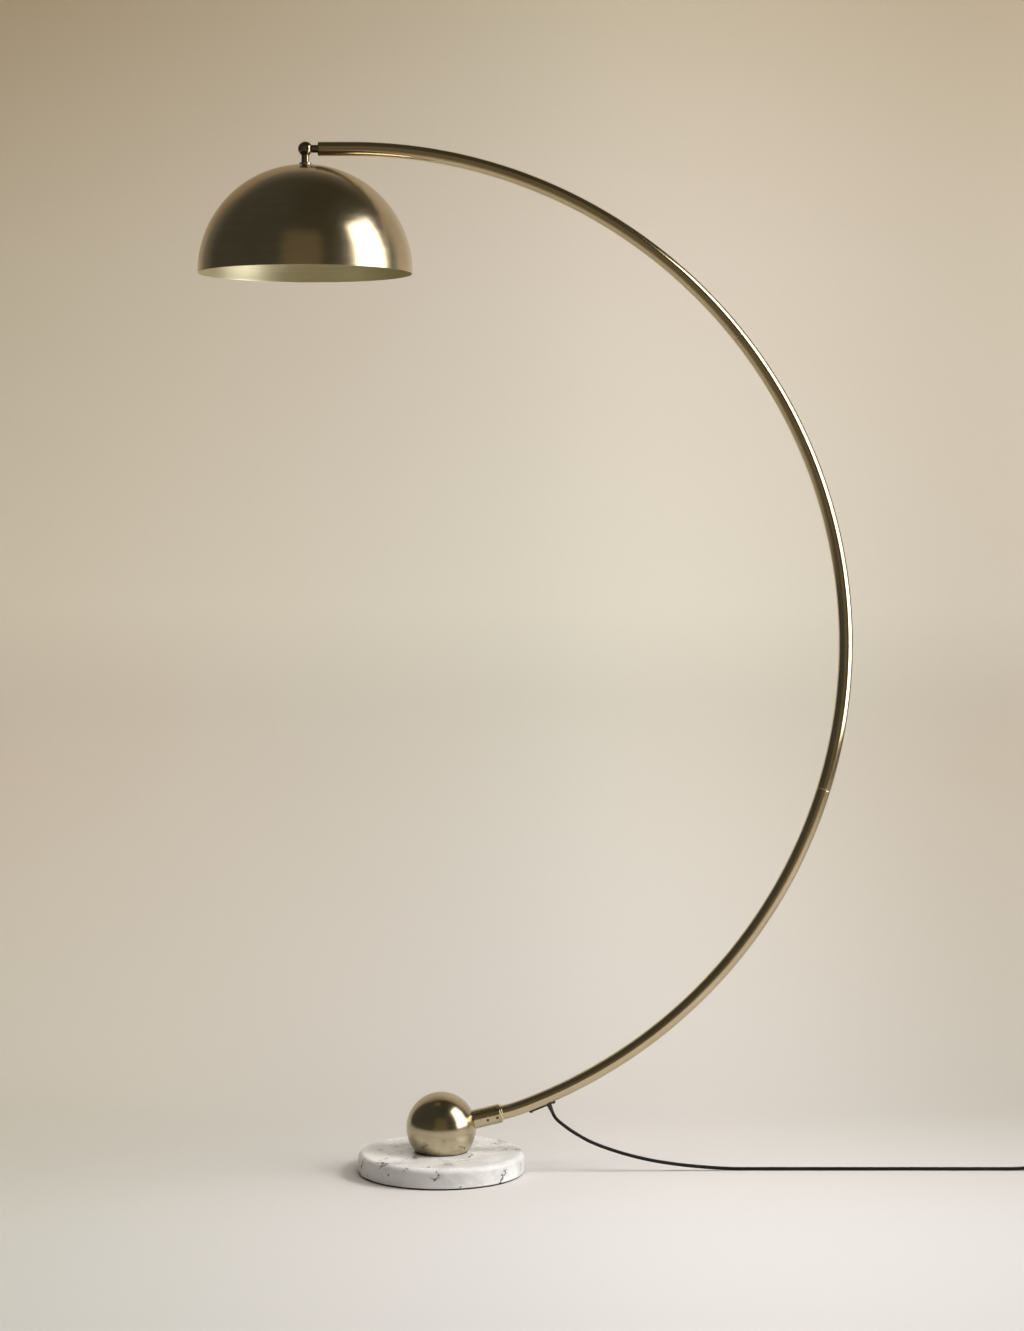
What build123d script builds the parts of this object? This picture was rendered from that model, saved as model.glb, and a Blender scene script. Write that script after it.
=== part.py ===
"""Arc floor lamp: marble disc, brass ball, three-section arc of tube, ball swivel and dome shade.

Millimetres. Origin at the centre of the base's underside, +Z up, +X towards the side that the arc bulges to.
The lamp is symmetrical about the XZ plane, apart from its lead inside the swivel and its cord on the floor.
"""

import math
import os

from build123d import *

os.makedirs("parts", exist_ok=True)

# Clearances
slip = 0.05  # radial, for pieces that are pushed together
loose = 0.3  # radial, for a screw or a lead in a plain hole
beyond = 1.0  # how far a cut reaches past the face that it opens

# Base
pad_radius = 142.0
pad_thickness = 2.5
base_radius = 145.0
base_thickness = 34.0
base_edge_radius = 10.0
base_foot_radius = 2.0
bolt_recess_radius = 23.0
bolt_recess_depth = 18.0
bolt_radius = 6.0
bolt_head_height = 8.0
bolt_head_flats = 19.0
bolt_reach = 22.0  # how far the bolt goes into the ball
washer_radius = 20.0
washer_thickness = 3.0

# Ball
ball_radius = 61.25
ball_flat_drop = 40.5  # from the ball's centre down to its flat underside
gasket_thickness = 0.8

# Sleeve, measured from the ball's centre along its own axis
sleeve_tilt = 13.5  # degrees above level
sleeve_wall = 4.0
sleeve_mouth = 107.0
sleeve_root_radius = 12.0
sleeve_root_depth = 26.0
sleeve_floor = 3.0  # solid wall between the root and the tube's end
sleeve_chamfer = 0.6
set_screw_radius = 2.5
set_screw_inset = 0.8  # how far its face lies under the sleeve's skin
set_screw_key = 2.5  # across the flats of the hexagonal socket
set_screw_places = (83.0, 100.0)
set_screw_turn = 13.0  # degrees below the sleeve's side
ferrule_wall = 1.7
ferrule_length = 3.5

# Arm
tube_radius = 12.5
tube_wall = 1.5
arm_bend_radius = 864.5
blend_radius = 298.0  # the tighter bend between the straight in the sleeve and the arc
blend_turn = 6.65  # degrees
lower_turn = 52.6  # degrees of the main bend in the lower section
middle_turn = 55.6  # degrees of the main bend in the middle section
arm_end_length = 57.4  # straight at the top, after the last bend
seam_width = 1.0
seam_depth = 0.4
spigot_wall = 1.5
spigot_length = 60.0

# Cable exit, at the place where the arm has turned by so many degrees from level
exit_turn = 23.15
exit_plate_turns = (20.75, 23.95)
exit_screw_turns = (21.0, 23.72)
exit_plate_thickness = 2.2
exit_plate_width = 9.0
exit_screw_radius = 1.25
exit_screw_head_radius = 2.2
exit_screw_head_height = 1.2
relief_root_radius = 4.3
relief_neck_radius = 3.7
relief_tip_radius = 3.4
relief_flange = 1.2
relief_length = 12.0  # outside the plate
relief_inside = 5.0  # inside the tube

# Swivel
cap_flange = 1.5
cap_plug_length = 14.0
cap_chamfer = 0.4
stub_radius = 7.0
journal_radius = 6.0
stub_length = 22.4  # from the end cap's face to the pivot's centre
swivel_ball_radius = 13.0
swivel_wall = 3.2
swivel_boss_radius = 4.2
swivel_gap = 0.5  # between the two half balls, filled by the friction ring
friction_ring_inset = 0.4  # under the ball's skin
neck_clearance = 0.35  # between a half ball and the other half's neck
pivot_screw_radius = 2.0
pivot_head_radius = 3.8
pivot_head_height = 2.1
pivot_head_land = 0.3
pivot_face_drop = 0.7  # how far the screw's face lies under the ball's skin
pivot_slot_width = 0.8
pivot_slot_depth = 0.9
pivot_slot_turn = 35.0  # degrees from level
swivel_nut_room = 1.5  # between the tube's bore and the nut and washer inside it
swivel_nut_length = 5.0
swivel_washer_thickness = 1.0

# Leads inside the lamp
lead_radius = 2.0
lead_offset = 2.6  # sideways from the stub's and the stem's axis, so each lead stays in its own half ball
lead_end_room = 2.0  # from the boss at the ball's centre to a lead's end
lead_break = 0.3  # between the arm's lead, which stands still, and the stub's, which turns
lead_lift_turn = 3.0  # degrees past the strain relief where the lead has reached the tube's axis
lead_run = 18.0
lead_bend_radius = 20.0

# Shade and lampholder
stem_drop = 27.7  # from the pivot's centre to the top of the dome
collar_radius = 11.0
collar_height = 3.5
collar_chamfer = 0.8
stem_thread_radius = 6.0
dome_radius = 187.5
dome_skirt = 3.3
dome_wall = 1.0
shade_nut_flats = 19.0
shade_nut_height = 5.0
cup_wall = 0.8
cup_height = 40.0
cup_edge_radius = 5.0
cup_nut_radius = 9.5
cup_nut_height = 4.0
stem_reach = 1.0  # of the stem past its last nut
holder_height = 33.0
holder_wall = 5.8
holder_top = 6.0
shell_wall = 0.5
shell_play = 0.7  # for the bulb's thread
shell_height = 26.0
contact_thickness = 0.8
contact_width = 8.0
contact_shift = 1.0
contact_dimple_radius = 2.5
bulb_cap_radius = 13.1
bulb_cap_height = 24.0
bulb_cap_chamfer = 1.0
bulb_insulator_height = 2.5
bulb_insulator_tip = 4.4
bulb_insulator_step = 1.5
bulb_radius = 30.0
bulb_neck_radius = 14.5
bulb_wall = 0.9
bulb_globe_turn = 115.0  # degrees of the round end, up from its lowest point
bulb_length = 107.0  # with its cap

# Cord
cord_radius = 3.0
cord_side = 10.0  # how far behind the lamp's plane the cord lies on the floor

# Foot switch, lying on the floor
switch_length = 66.0
switch_width = 36.0
switch_base_height = 4.0
switch_cover_height = 17.0
switch_wall = 2.0
switch_edge_radius = 5.0
switch_entry_height = 8.0
switch_relief_length = 20.0
switch_relief_root = 4.6
switch_relief_neck = 3.6
switch_foot_chamfer = 1.0
switch_block_length = 26.0
switch_block_width = 20.0
switch_block_room = 0.3  # left under the button when it is pressed
relief_lip = 0.4  # wall of a strain relief at its thin end
button_radius = 10.0
button_flange = 2.0
button_flange_height = 2.0
button_rise = 3.0
button_travel = 2.5
button_clearance = 0.35
button_play = 0.1
button_edge_radius = 1.8
switch_inlet_x = 1047.0

# Coil of the cord's put-away length
coil_centre = (1187.0, 49.0)
coil_inner_radius = 24.0
coil_outer_radius = 42.0
coil_height = 11.2
coil_edge_radius = 2.8
tie_wall = 0.8
tie_width = 12.0
tie_gap = 0.85
tie_corner_radius = 2.2

# Plug
plug_tip = (1132.0, 88.0)  # where the cord enters it
plug_entry_height = 7.0
plug_relief_length = 20.0
plug_body_length = 36.0
plug_width = 26.0
plug_neck_width = 13.0
plug_height = 13.6
plug_shoulder = 14.0  # length of its full width
plug_corner_radius = 3.0
plug_edge_radius = 2.0
plug_relief_root = 5.2
pin_radius = 2.0
pin_length = 19.0
pin_spacing = 18.6


# Sizes that follow the piece that they fit
sleeve_radius = tube_radius + sleeve_wall
ferrule_radius = tube_radius + ferrule_wall
tube_bore = tube_radius - tube_wall
swivel_nut_radius = tube_bore - swivel_nut_room
pivot_face = swivel_ball_radius - pivot_face_drop
shell_bore = bulb_cap_radius + shell_play
shell_radius = shell_bore + shell_wall
holder_bore = shell_radius + slip
holder_radius = holder_bore + holder_wall
cup_radius = holder_radius + slip + cup_wall
button_flange_radius = button_radius + button_flange

# Places along the arm
base_top = pad_thickness + base_thickness
ball_seat = base_top + gasket_thickness
ball_centre = Vector(0, 0, ball_seat + ball_flat_drop)
tilt = math.radians(sleeve_tilt)
sleeve_heading = Vector(math.cos(tilt), 0, math.sin(tilt))
sleeve_up = Vector(-math.sin(tilt), 0, math.cos(tilt))
sleeve_start = math.sqrt(ball_radius**2 - sleeve_radius**2)  # flat seat cut on the ball
tube_start = sleeve_start + sleeve_floor
straight_end = sleeve_mouth + ferrule_length + 0.5


def sleeve_point(distance):
    """Point on the sleeve's axis, this far from the ball's centre."""
    return ball_centre + sleeve_heading * distance


def sleeve_plane(distance):
    """Plane square to the sleeve, with its own y pointing up."""
    return Plane(origin=sleeve_point(distance), x_dir=(0, 1, 0), z_dir=sleeve_heading)


def outward(turn):
    """Direction from the bend's centre to the place where the arm has turned this far from level."""
    angle = math.radians(turn)
    return Vector(math.sin(angle), 0, -math.cos(angle))


def heading(turn):
    """Direction of the arm where it has turned this far from level."""
    angle = math.radians(turn)
    return Vector(math.cos(angle), 0, math.sin(angle))


bend_start = sleeve_tilt + blend_turn
blend_centre = sleeve_point(straight_end) + sleeve_up * blend_radius
arm_centre = blend_centre + outward(bend_start) * (blend_radius - arm_bend_radius)
arm_axis = Axis(arm_centre, (0, -1, 0))
seam_low = bend_start + lower_turn
seam_high = seam_low + middle_turn


def arm_point(turn, offset=0.0, side=0.0):
    """Point of the main bend; offset is outwards from the tube's axis and side is along Y."""
    return arm_centre + outward(turn) * (arm_bend_radius + offset) + Vector(0, side, 0)


def arm_plane(turn):
    """Plane square to the arm, with its own y pointing to the inside of the bend."""
    return Plane(origin=arm_point(turn), x_dir=(0, 1, 0), z_dir=heading(turn))


def exit_plane(turn, offset):
    """Plane on the arm's underside, square to the outward direction."""
    return Plane(origin=arm_point(turn, offset), x_dir=(0, 1, 0), z_dir=outward(turn))


def ring(outer, inner):
    """Ring in the current sketch."""
    Circle(outer)
    Circle(inner, mode=Mode.SUBTRACT)


# Base: pad, marble disc, bolt and washer

with BuildPart() as foot_pad:
    with BuildSketch():
        Circle(pad_radius)
    extrude(amount=pad_thickness)
foot_pad.part.label = "foot_pad"
export_step(foot_pad.part, "parts/foot_pad.step")

with BuildPart() as marble_base:
    with BuildSketch(Plane.XY.offset(pad_thickness)):
        Circle(base_radius)
    extrude(amount=base_thickness)
    fillet(marble_base.edges().sort_by(Axis.Z)[-1], radius=base_edge_radius)
    fillet(marble_base.edges().sort_by(Axis.Z)[0], radius=base_foot_radius)
    with BuildSketch(Plane.XY.offset(pad_thickness)):
        Circle(bolt_recess_radius)
    extrude(amount=bolt_recess_depth, mode=Mode.SUBTRACT)
    with BuildSketch(Plane.XY.offset(pad_thickness)):
        Circle(bolt_radius + loose)
    extrude(amount=base_thickness, mode=Mode.SUBTRACT)
marble_base.part.label = "marble_base"
export_step(marble_base.part, "parts/marble_base.step")

recess_roof = pad_thickness + bolt_recess_depth
washer_bottom = recess_roof - washer_thickness
with BuildPart() as base_washer:
    with BuildSketch(Plane.XY.offset(washer_bottom)):
        ring(washer_radius, bolt_radius + loose)
    extrude(amount=washer_thickness)
base_washer.part.label = "base_washer"
export_step(base_washer.part, "parts/base_washer.step")

with BuildPart() as base_bolt:
    with BuildSketch(Plane.XY.offset(washer_bottom - bolt_head_height)):
        RegularPolygon(radius=bolt_head_flats / 2, side_count=6, major_radius=False)
    extrude(amount=bolt_head_height)
    with BuildSketch(Plane.XY.offset(washer_bottom)):
        Circle(bolt_radius)
    extrude(amount=ball_seat + bolt_reach - washer_bottom)
base_bolt.part.label = "base_bolt"
export_step(base_bolt.part, "parts/base_bolt.step")


# Ball, its gasket and the sleeve

ball_flat_radius = math.sqrt(ball_radius**2 - ball_flat_drop**2)
root_end = sleeve_start - sleeve_root_depth

with BuildPart() as ball_gasket:
    with BuildSketch(Plane.XY.offset(base_top)):
        ring(ball_flat_radius, bolt_radius + loose)
    extrude(amount=gasket_thickness)
ball_gasket.part.label = "ball_gasket"
export_step(ball_gasket.part, "parts/ball_gasket.step")

with BuildPart() as ball:
    with Locations(ball_centre):
        Sphere(ball_radius)
    split(bisect_by=Plane.XY.offset(ball_seat), keep=Keep.TOP)
    with BuildSketch(Plane.XY.offset(ball_seat)):
        Circle(bolt_radius + slip)
    extrude(amount=bolt_reach + bolt_radius, mode=Mode.SUBTRACT)
    with BuildSketch(sleeve_plane(sleeve_start)):
        Circle(sleeve_radius)
    extrude(amount=ball_radius, mode=Mode.SUBTRACT)
    with BuildSketch(sleeve_plane(root_end - beyond)):
        Circle(sleeve_root_radius + slip)
    extrude(amount=sleeve_root_depth + 2 * beyond, mode=Mode.SUBTRACT)
ball.part.label = "ball"
export_step(ball.part, "parts/ball.step")


def set_screw_plane(distance, height):
    """Plane across a set screw, this high above the sleeve's axis, on the side away from the lamp's back."""
    turn = math.radians(set_screw_turn)
    across = Vector(0, -math.cos(turn), 0) - sleeve_up * math.sin(turn)
    return Plane(origin=sleeve_point(distance) + across * height, x_dir=sleeve_heading, z_dir=across)


with BuildPart() as arm_sleeve:
    with BuildSketch(sleeve_plane(sleeve_start)):
        Circle(sleeve_radius)
    extrude(amount=sleeve_mouth - sleeve_start)
    chamfer(arm_sleeve.edges().group_by(Axis.X)[-1], length=sleeve_chamfer)
    with BuildSketch(sleeve_plane(tube_start)):
        Circle(tube_radius + slip)
    extrude(amount=sleeve_mouth, mode=Mode.SUBTRACT)
    with BuildSketch(sleeve_plane(root_end)):
        Circle(sleeve_root_radius)
    extrude(amount=sleeve_root_depth)
    for place in set_screw_places:
        with BuildSketch(set_screw_plane(place, 0)):
            Circle(set_screw_radius + slip)
        extrude(amount=sleeve_radius + beyond, mode=Mode.SUBTRACT)
arm_sleeve.part.label = "arm_sleeve"
export_step(arm_sleeve.part, "parts/arm_sleeve.step")

with BuildPart() as set_screws:
    screw_length = sleeve_radius - set_screw_inset - tube_radius - slip
    for place in set_screw_places:
        with BuildSketch(set_screw_plane(place, tube_radius + slip)):
            Circle(set_screw_radius)
        extrude(amount=screw_length)
        with BuildSketch(set_screw_plane(place, tube_radius + slip + screw_length / 3)):
            RegularPolygon(radius=set_screw_key / 2, side_count=6, major_radius=False)
        extrude(amount=screw_length, mode=Mode.SUBTRACT)
set_screws.part.label = "set_screws"
export_step(set_screws.part, "parts/set_screws.step")

with BuildPart() as sleeve_ferrule:
    with BuildSketch(sleeve_plane(sleeve_mouth)):
        ring(ferrule_radius, tube_radius + slip)
    extrude(amount=ferrule_length)
sleeve_ferrule.part.label = "sleeve_ferrule"
export_step(sleeve_ferrule.part, "parts/sleeve_ferrule.step")


# Arm: three tube sections and the two spigots that join them

exit_holes = (
    (exit_turn, relief_neck_radius + loose),
    (exit_screw_turns[0], exit_screw_radius + slip),
    (exit_screw_turns[1], exit_screw_radius + slip),
)


def seam_step(turn):
    """Ring that takes a thin step off the ends of the two tubes that meet at this turn, where a seam shows."""
    with BuildPart() as step:
        with BuildSketch(arm_plane(turn)):
            ring(tube_radius + beyond, tube_radius - seam_depth)
        extrude(amount=seam_width / 2, both=True)
    return step.part


def arc_points(first, last):
    """Start, middle and end of a stretch of the main bend."""
    return arm_point(first), arm_point((first + last) / 2), arm_point(last)


with BuildPart() as arm_lower:
    with BuildLine() as lower_path:
        Line(sleeve_point(tube_start), sleeve_point(straight_end))
        ThreePointArc(
            sleeve_point(straight_end),
            blend_centre + outward(sleeve_tilt + blend_turn / 2) * blend_radius,
            arm_point(bend_start),
        )
        ThreePointArc(*arc_points(bend_start, seam_low))
    with BuildSketch(sleeve_plane(tube_start)):
        ring(tube_radius, tube_bore)
    sweep(path=lower_path.line)
    for turn, radius in exit_holes:
        with BuildSketch(exit_plane(turn, tube_bore - radius)):
            Circle(radius)
        extrude(amount=tube_wall + radius + beyond, mode=Mode.SUBTRACT)
    add(seam_step(seam_low), mode=Mode.SUBTRACT)
arm_lower.part.label = "arm_lower"
export_step(arm_lower.part, "parts/arm_lower.step")

with BuildPart() as arm_middle:
    with BuildLine() as middle_path:
        ThreePointArc(*arc_points(seam_low, seam_high))
    with BuildSketch(arm_plane(seam_low)):
        ring(tube_radius, tube_bore)
    sweep(path=middle_path.line)
    add(seam_step(seam_low), mode=Mode.SUBTRACT)
    add(seam_step(seam_high), mode=Mode.SUBTRACT)
arm_middle.part.label = "arm_middle"
export_step(arm_middle.part, "parts/arm_middle.step")

arm_end = arm_point(180) - Vector(arm_end_length, 0, 0)
with BuildPart() as arm_upper:
    with BuildLine() as upper_path:
        ThreePointArc(*arc_points(seam_high, 180))
        Line(arm_point(180), arm_end)
    with BuildSketch(arm_plane(seam_high)):
        ring(tube_radius, tube_bore)
    sweep(path=upper_path.line)
    add(seam_step(seam_high), mode=Mode.SUBTRACT)
arm_upper.part.label = "arm_upper"
export_step(arm_upper.part, "parts/arm_upper.step")

spigot_turn = math.degrees(spigot_length / arm_bend_radius)

with BuildPart() as spigot_low:
    with BuildSketch(arm_plane(seam_low - spigot_turn / 2)):
        ring(tube_bore - slip, tube_bore - slip - spigot_wall)
    revolve(axis=arm_axis, revolution_arc=spigot_turn)
spigot_low.part.label = "spigot_low"
export_step(spigot_low.part, "parts/spigot_low.step")

with BuildPart() as spigot_high:
    with BuildSketch(arm_plane(seam_high - spigot_turn / 2)):
        ring(tube_bore - slip, tube_bore - slip - spigot_wall)
    revolve(axis=arm_axis, revolution_arc=spigot_turn)
spigot_high.part.label = "spigot_high"
export_step(spigot_high.part, "parts/spigot_high.step")


# Cable exit under the arm

plate_inside = tube_radius + slip
plate_outside = plate_inside + exit_plate_thickness

with BuildPart() as exit_plate:
    with BuildLine() as plate_path:
        ThreePointArc(*arc_points(*exit_plate_turns))
    with BuildSketch(arm_plane(exit_plate_turns[0])):
        ring(plate_outside, plate_inside)
        with Locations((0, -plate_outside)):
            Rectangle(exit_plate_width, plate_outside, mode=Mode.INTERSECT)
    sweep(path=plate_path.line)
    for turn, radius in exit_holes:
        with BuildSketch(exit_plane(turn, tube_radius - radius)):
            Circle(radius)
        extrude(amount=exit_plate_thickness + radius + beyond, mode=Mode.SUBTRACT)
exit_plate.part.label = "exit_plate"
export_step(exit_plate.part, "parts/exit_plate.step")

with BuildPart() as exit_screws:
    for turn in exit_screw_turns:
        with BuildSketch(exit_plane(turn, tube_bore - beyond)):
            Circle(exit_screw_radius)
        extrude(amount=plate_outside - tube_bore + beyond)
        with BuildSketch(exit_plane(turn, plate_outside)):
            Circle(exit_screw_head_radius)
        extrude(amount=exit_screw_head_height)
exit_screws.part.label = "exit_screws"
export_step(exit_screws.part, "parts/exit_screws.step")

relief_axis = Axis(arm_point(exit_turn), outward(exit_turn))
relief_tip = plate_outside + relief_length

with BuildPart() as strain_relief:
    with BuildSketch(Plane(origin=arm_point(exit_turn), x_dir=heading(exit_turn), z_dir=(0, 1, 0))):
        with BuildLine():
            Polyline(
                (0, tube_bore - relief_inside),
                (relief_neck_radius, tube_bore - relief_inside),
                (relief_neck_radius, plate_outside),
                (relief_root_radius, plate_outside),
                (relief_root_radius, plate_outside + relief_flange),
                (relief_tip_radius, relief_tip),
                (0, relief_tip),
                close=True,
            )
        make_face()
    revolve(axis=relief_axis)
strain_relief.part.label = "strain_relief"
export_step(strain_relief.part, "parts/strain_relief.step")


# Lead inside the arm, from the strain relief to the swivel's journal

cap_face = arm_end + Vector(-cap_flange, 0, 0)
pivot = cap_face + Vector(-stub_length, 0, 0)
cap_inner = stub_length + cap_flange + cap_plug_length
journal_end = cap_inner + swivel_washer_thickness + swivel_nut_length
lead_lift = exit_turn + lead_lift_turn

with BuildPart() as arm_lead:
    lead_corner = arm_point(lead_lift) - heading(lead_lift) * lead_run
    lead_start = arm_point(exit_turn, tube_bore - relief_inside - lead_radius)
    with BuildLine() as lead_path:
        FilletPolyline(lead_start, lead_corner, arm_point(lead_lift), radius=lead_bend_radius)
        ThreePointArc(*arc_points(lead_lift, 180))
        Line(arm_point(180), pivot + Vector(journal_end + lead_break, 0, 0))
    with BuildSketch(Plane(origin=lead_start, z_dir=lead_corner - lead_start)):
        Circle(lead_radius)
    sweep(path=lead_path.line)
arm_lead.part.label = "arm_lead"
export_step(arm_lead.part, "parts/arm_lead.step")


# Arm's end cap and the swivel


def stub_plane(distance):
    """Plane square to the swivel stub, this far from the pivot towards the arm."""
    return Plane(origin=pivot + Vector(distance, 0, 0), x_dir=(0, 1, 0), z_dir=(1, 0, 0))


def stem_plane(distance):
    """Plane square to the shade's stem, this far below the pivot."""
    return Plane(origin=pivot - Vector(0, 0, distance), x_dir=(1, 0, 0), z_dir=(0, 0, -1))


with BuildPart() as arm_end_cap:
    with BuildSketch(stub_plane(stub_length)):
        Circle(tube_radius)
    extrude(amount=cap_flange)
    chamfer(arm_end_cap.edges().group_by(Axis.X)[0], length=cap_chamfer)
    with BuildSketch(stub_plane(stub_length + cap_flange)):
        Circle(tube_bore - slip)
    extrude(amount=cap_plug_length)
    with BuildSketch(stub_plane(stub_length)):
        Circle(journal_radius + slip)
    extrude(amount=cap_flange + cap_plug_length, mode=Mode.SUBTRACT)
arm_end_cap.part.label = "arm_end_cap"
export_step(arm_end_cap.part, "parts/arm_end_cap.step")

with BuildPart() as swivel_washer:
    with BuildSketch(stub_plane(cap_inner)):
        ring(swivel_nut_radius, journal_radius + slip)
    extrude(amount=swivel_washer_thickness)
swivel_washer.part.label = "swivel_washer"
export_step(swivel_washer.part, "parts/swivel_washer.step")

with BuildPart() as swivel_nut:
    with BuildSketch(stub_plane(cap_inner + swivel_washer_thickness)):
        ring(swivel_nut_radius, journal_radius + slip)
    extrude(amount=swivel_nut_length)
swivel_nut.part.label = "swivel_nut"
export_step(swivel_nut.part, "parts/swivel_nut.step")

# The ball is two hollow halves that meet at the XZ plane: the back one carries the stub to the arm,
# and the front one carries the stem to the shade. Each neck reaches over the other half with a clearance.
split_back = Plane.XZ.offset(-swivel_gap / 2)
split_front = Plane.XZ.offset(swivel_gap / 2)
neck_room_radius = swivel_ball_radius + neck_clearance
swivel_hollow = swivel_ball_radius - swivel_wall

with BuildPart() as front_room:
    with Locations(pivot):
        Sphere(neck_room_radius)
    split(bisect_by=split_back, keep=Keep.TOP)

with BuildPart() as back_room:
    with Locations(pivot):
        Sphere(neck_room_radius)
    split(bisect_by=split_front, keep=Keep.BOTTOM)

with BuildPart() as back_half:
    with Locations(pivot):
        Sphere(swivel_ball_radius)
        Sphere(swivel_hollow, mode=Mode.SUBTRACT)
    with BuildSketch(Plane(origin=pivot, x_dir=(1, 0, 0), z_dir=(0, 1, 0))):
        Circle(swivel_boss_radius)
    extrude(amount=swivel_ball_radius - swivel_wall / 2)
    split(bisect_by=split_back, keep=Keep.BOTTOM)

with BuildPart() as swivel_back:
    with BuildSketch(stub_plane(swivel_hollow)):
        Circle(stub_radius)
    extrude(amount=stub_length - swivel_hollow)
    add(front_room.part, mode=Mode.SUBTRACT)
    with Locations(pivot):
        Sphere(swivel_hollow, mode=Mode.SUBTRACT)
    add(back_half.part)
    with BuildSketch(stub_plane(stub_length)):
        Circle(journal_radius)
    extrude(amount=journal_end - stub_length)
    with BuildSketch(stub_plane(swivel_boss_radius)):
        with Locations((lead_offset, 0)):
            Circle(lead_radius + loose)
    extrude(amount=journal_end, mode=Mode.SUBTRACT)
    with BuildSketch(Plane(origin=pivot, x_dir=(1, 0, 0), z_dir=(0, 1, 0))):
        Circle(pivot_screw_radius + slip)
    extrude(amount=swivel_hollow, mode=Mode.SUBTRACT)
swivel_back.part.label = "swivel_back"
export_step(swivel_back.part, "parts/swivel_back.step")

with BuildPart() as friction_ring:
    with BuildSketch(Plane(origin=pivot - Vector(0, swivel_gap / 2, 0), x_dir=(1, 0, 0), z_dir=(0, 1, 0))):
        ring(swivel_ball_radius - friction_ring_inset, swivel_hollow)
    extrude(amount=swivel_gap)
friction_ring.part.label = "friction_ring"
export_step(friction_ring.part, "parts/friction_ring.step")

pivot_section = Plane(origin=pivot, x_dir=(1, 0, 0), z_dir=(0, 0, 1))
pivot_axis = Axis(pivot, (0, 1, 0))
pivot_head_back = pivot_face - pivot_head_height
pivot_screw_end = swivel_hollow - 1


def pivot_outline(growth, face):
    """Corners of half a section of the countersunk pivot screw, grown all round, with its face at this depth."""
    return (
        (0, -face),
        (pivot_head_radius + growth, -face),
        (pivot_head_radius + growth, -pivot_face + pivot_head_land),
        (pivot_screw_radius + growth, -pivot_head_back),
        (pivot_screw_radius + growth, pivot_screw_end),
        (0, pivot_screw_end),
    )


with BuildPart() as front_half:
    with Locations(pivot):
        Sphere(swivel_ball_radius)
        Sphere(swivel_hollow, mode=Mode.SUBTRACT)
    with BuildSketch(Plane(origin=pivot, x_dir=(1, 0, 0), z_dir=(0, -1, 0))):
        Circle(swivel_boss_radius)
    extrude(amount=swivel_ball_radius - swivel_wall / 2)
    split(bisect_by=split_front, keep=Keep.TOP)

apex = pivot - Vector(0, 0, stem_drop)
collar_top = stem_drop - collar_height
nut_drop = dome_radius - dome_wall - math.sqrt((dome_radius - dome_wall) ** 2 - (shade_nut_flats / 2) ** 2)
shade_nut_top = stem_drop + dome_wall + nut_drop
cup_top = shade_nut_top + shade_nut_height
cup_nut_top = cup_top + cup_wall
stem_end = cup_nut_top + cup_nut_height + stem_reach

with BuildPart() as swivel_front:
    with BuildSketch(stem_plane(swivel_hollow)):
        Circle(stub_radius)
    extrude(amount=collar_top - swivel_hollow)
    add(back_room.part, mode=Mode.SUBTRACT)
    with Locations(pivot):
        Sphere(swivel_hollow, mode=Mode.SUBTRACT)
    add(front_half.part)
    with BuildSketch(stem_plane(collar_top)):
        Circle(stem_thread_radius)
    extrude(amount=stem_end - collar_top)
    with BuildSketch(stem_plane(swivel_boss_radius)):
        with Locations((0, lead_offset)):
            Circle(lead_radius + loose)
    extrude(amount=stem_end, mode=Mode.SUBTRACT)
    with BuildSketch(pivot_section):
        with BuildLine():
            Polyline(*pivot_outline(slip, swivel_ball_radius), close=True)
        make_face()
    revolve(axis=pivot_axis, mode=Mode.SUBTRACT)
swivel_front.part.label = "swivel_front"
export_step(swivel_front.part, "parts/swivel_front.step")

with BuildPart() as pivot_screw:
    with BuildSketch(pivot_section):
        with BuildLine():
            Polyline(*pivot_outline(0, pivot_face), close=True)
        make_face()
    revolve(axis=pivot_axis)
    with BuildSketch(Plane(origin=pivot - Vector(0, pivot_face, 0), x_dir=(1, 0, 0), z_dir=(0, 1, 0))):
        Rectangle(2 * pivot_head_radius + beyond, pivot_slot_width, rotation=pivot_slot_turn)
    extrude(amount=pivot_slot_depth, mode=Mode.SUBTRACT)
pivot_screw.part.label = "pivot_screw"
export_step(pivot_screw.part, "parts/pivot_screw.step")

stub_lead_end = swivel_boss_radius + lead_end_room
with BuildPart() as stub_lead:
    with BuildSketch(stub_plane(stub_lead_end)):
        with Locations((lead_offset, 0)):
            Circle(lead_radius)
    extrude(amount=journal_end - stub_lead_end)
stub_lead.part.label = "stub_lead"
export_step(stub_lead.part, "parts/stub_lead.step")


# Shade, hung on the stem

with BuildPart() as stem_collar:
    with BuildSketch(stem_plane(collar_top)):
        ring(collar_radius, stem_thread_radius + slip)
    extrude(amount=collar_height)
    rims = stem_collar.edges().filter_by(GeomType.CIRCLE).sort_by(SortBy.RADIUS)[-2:]
    chamfer(rims.sort_by(Axis.Z)[-1], length=collar_chamfer)
stem_collar.part.label = "stem_collar"
export_step(stem_collar.part, "parts/stem_collar.step")

dome_centre = apex - Vector(0, 0, dome_radius)
dome_inside = dome_radius - dome_wall

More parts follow.
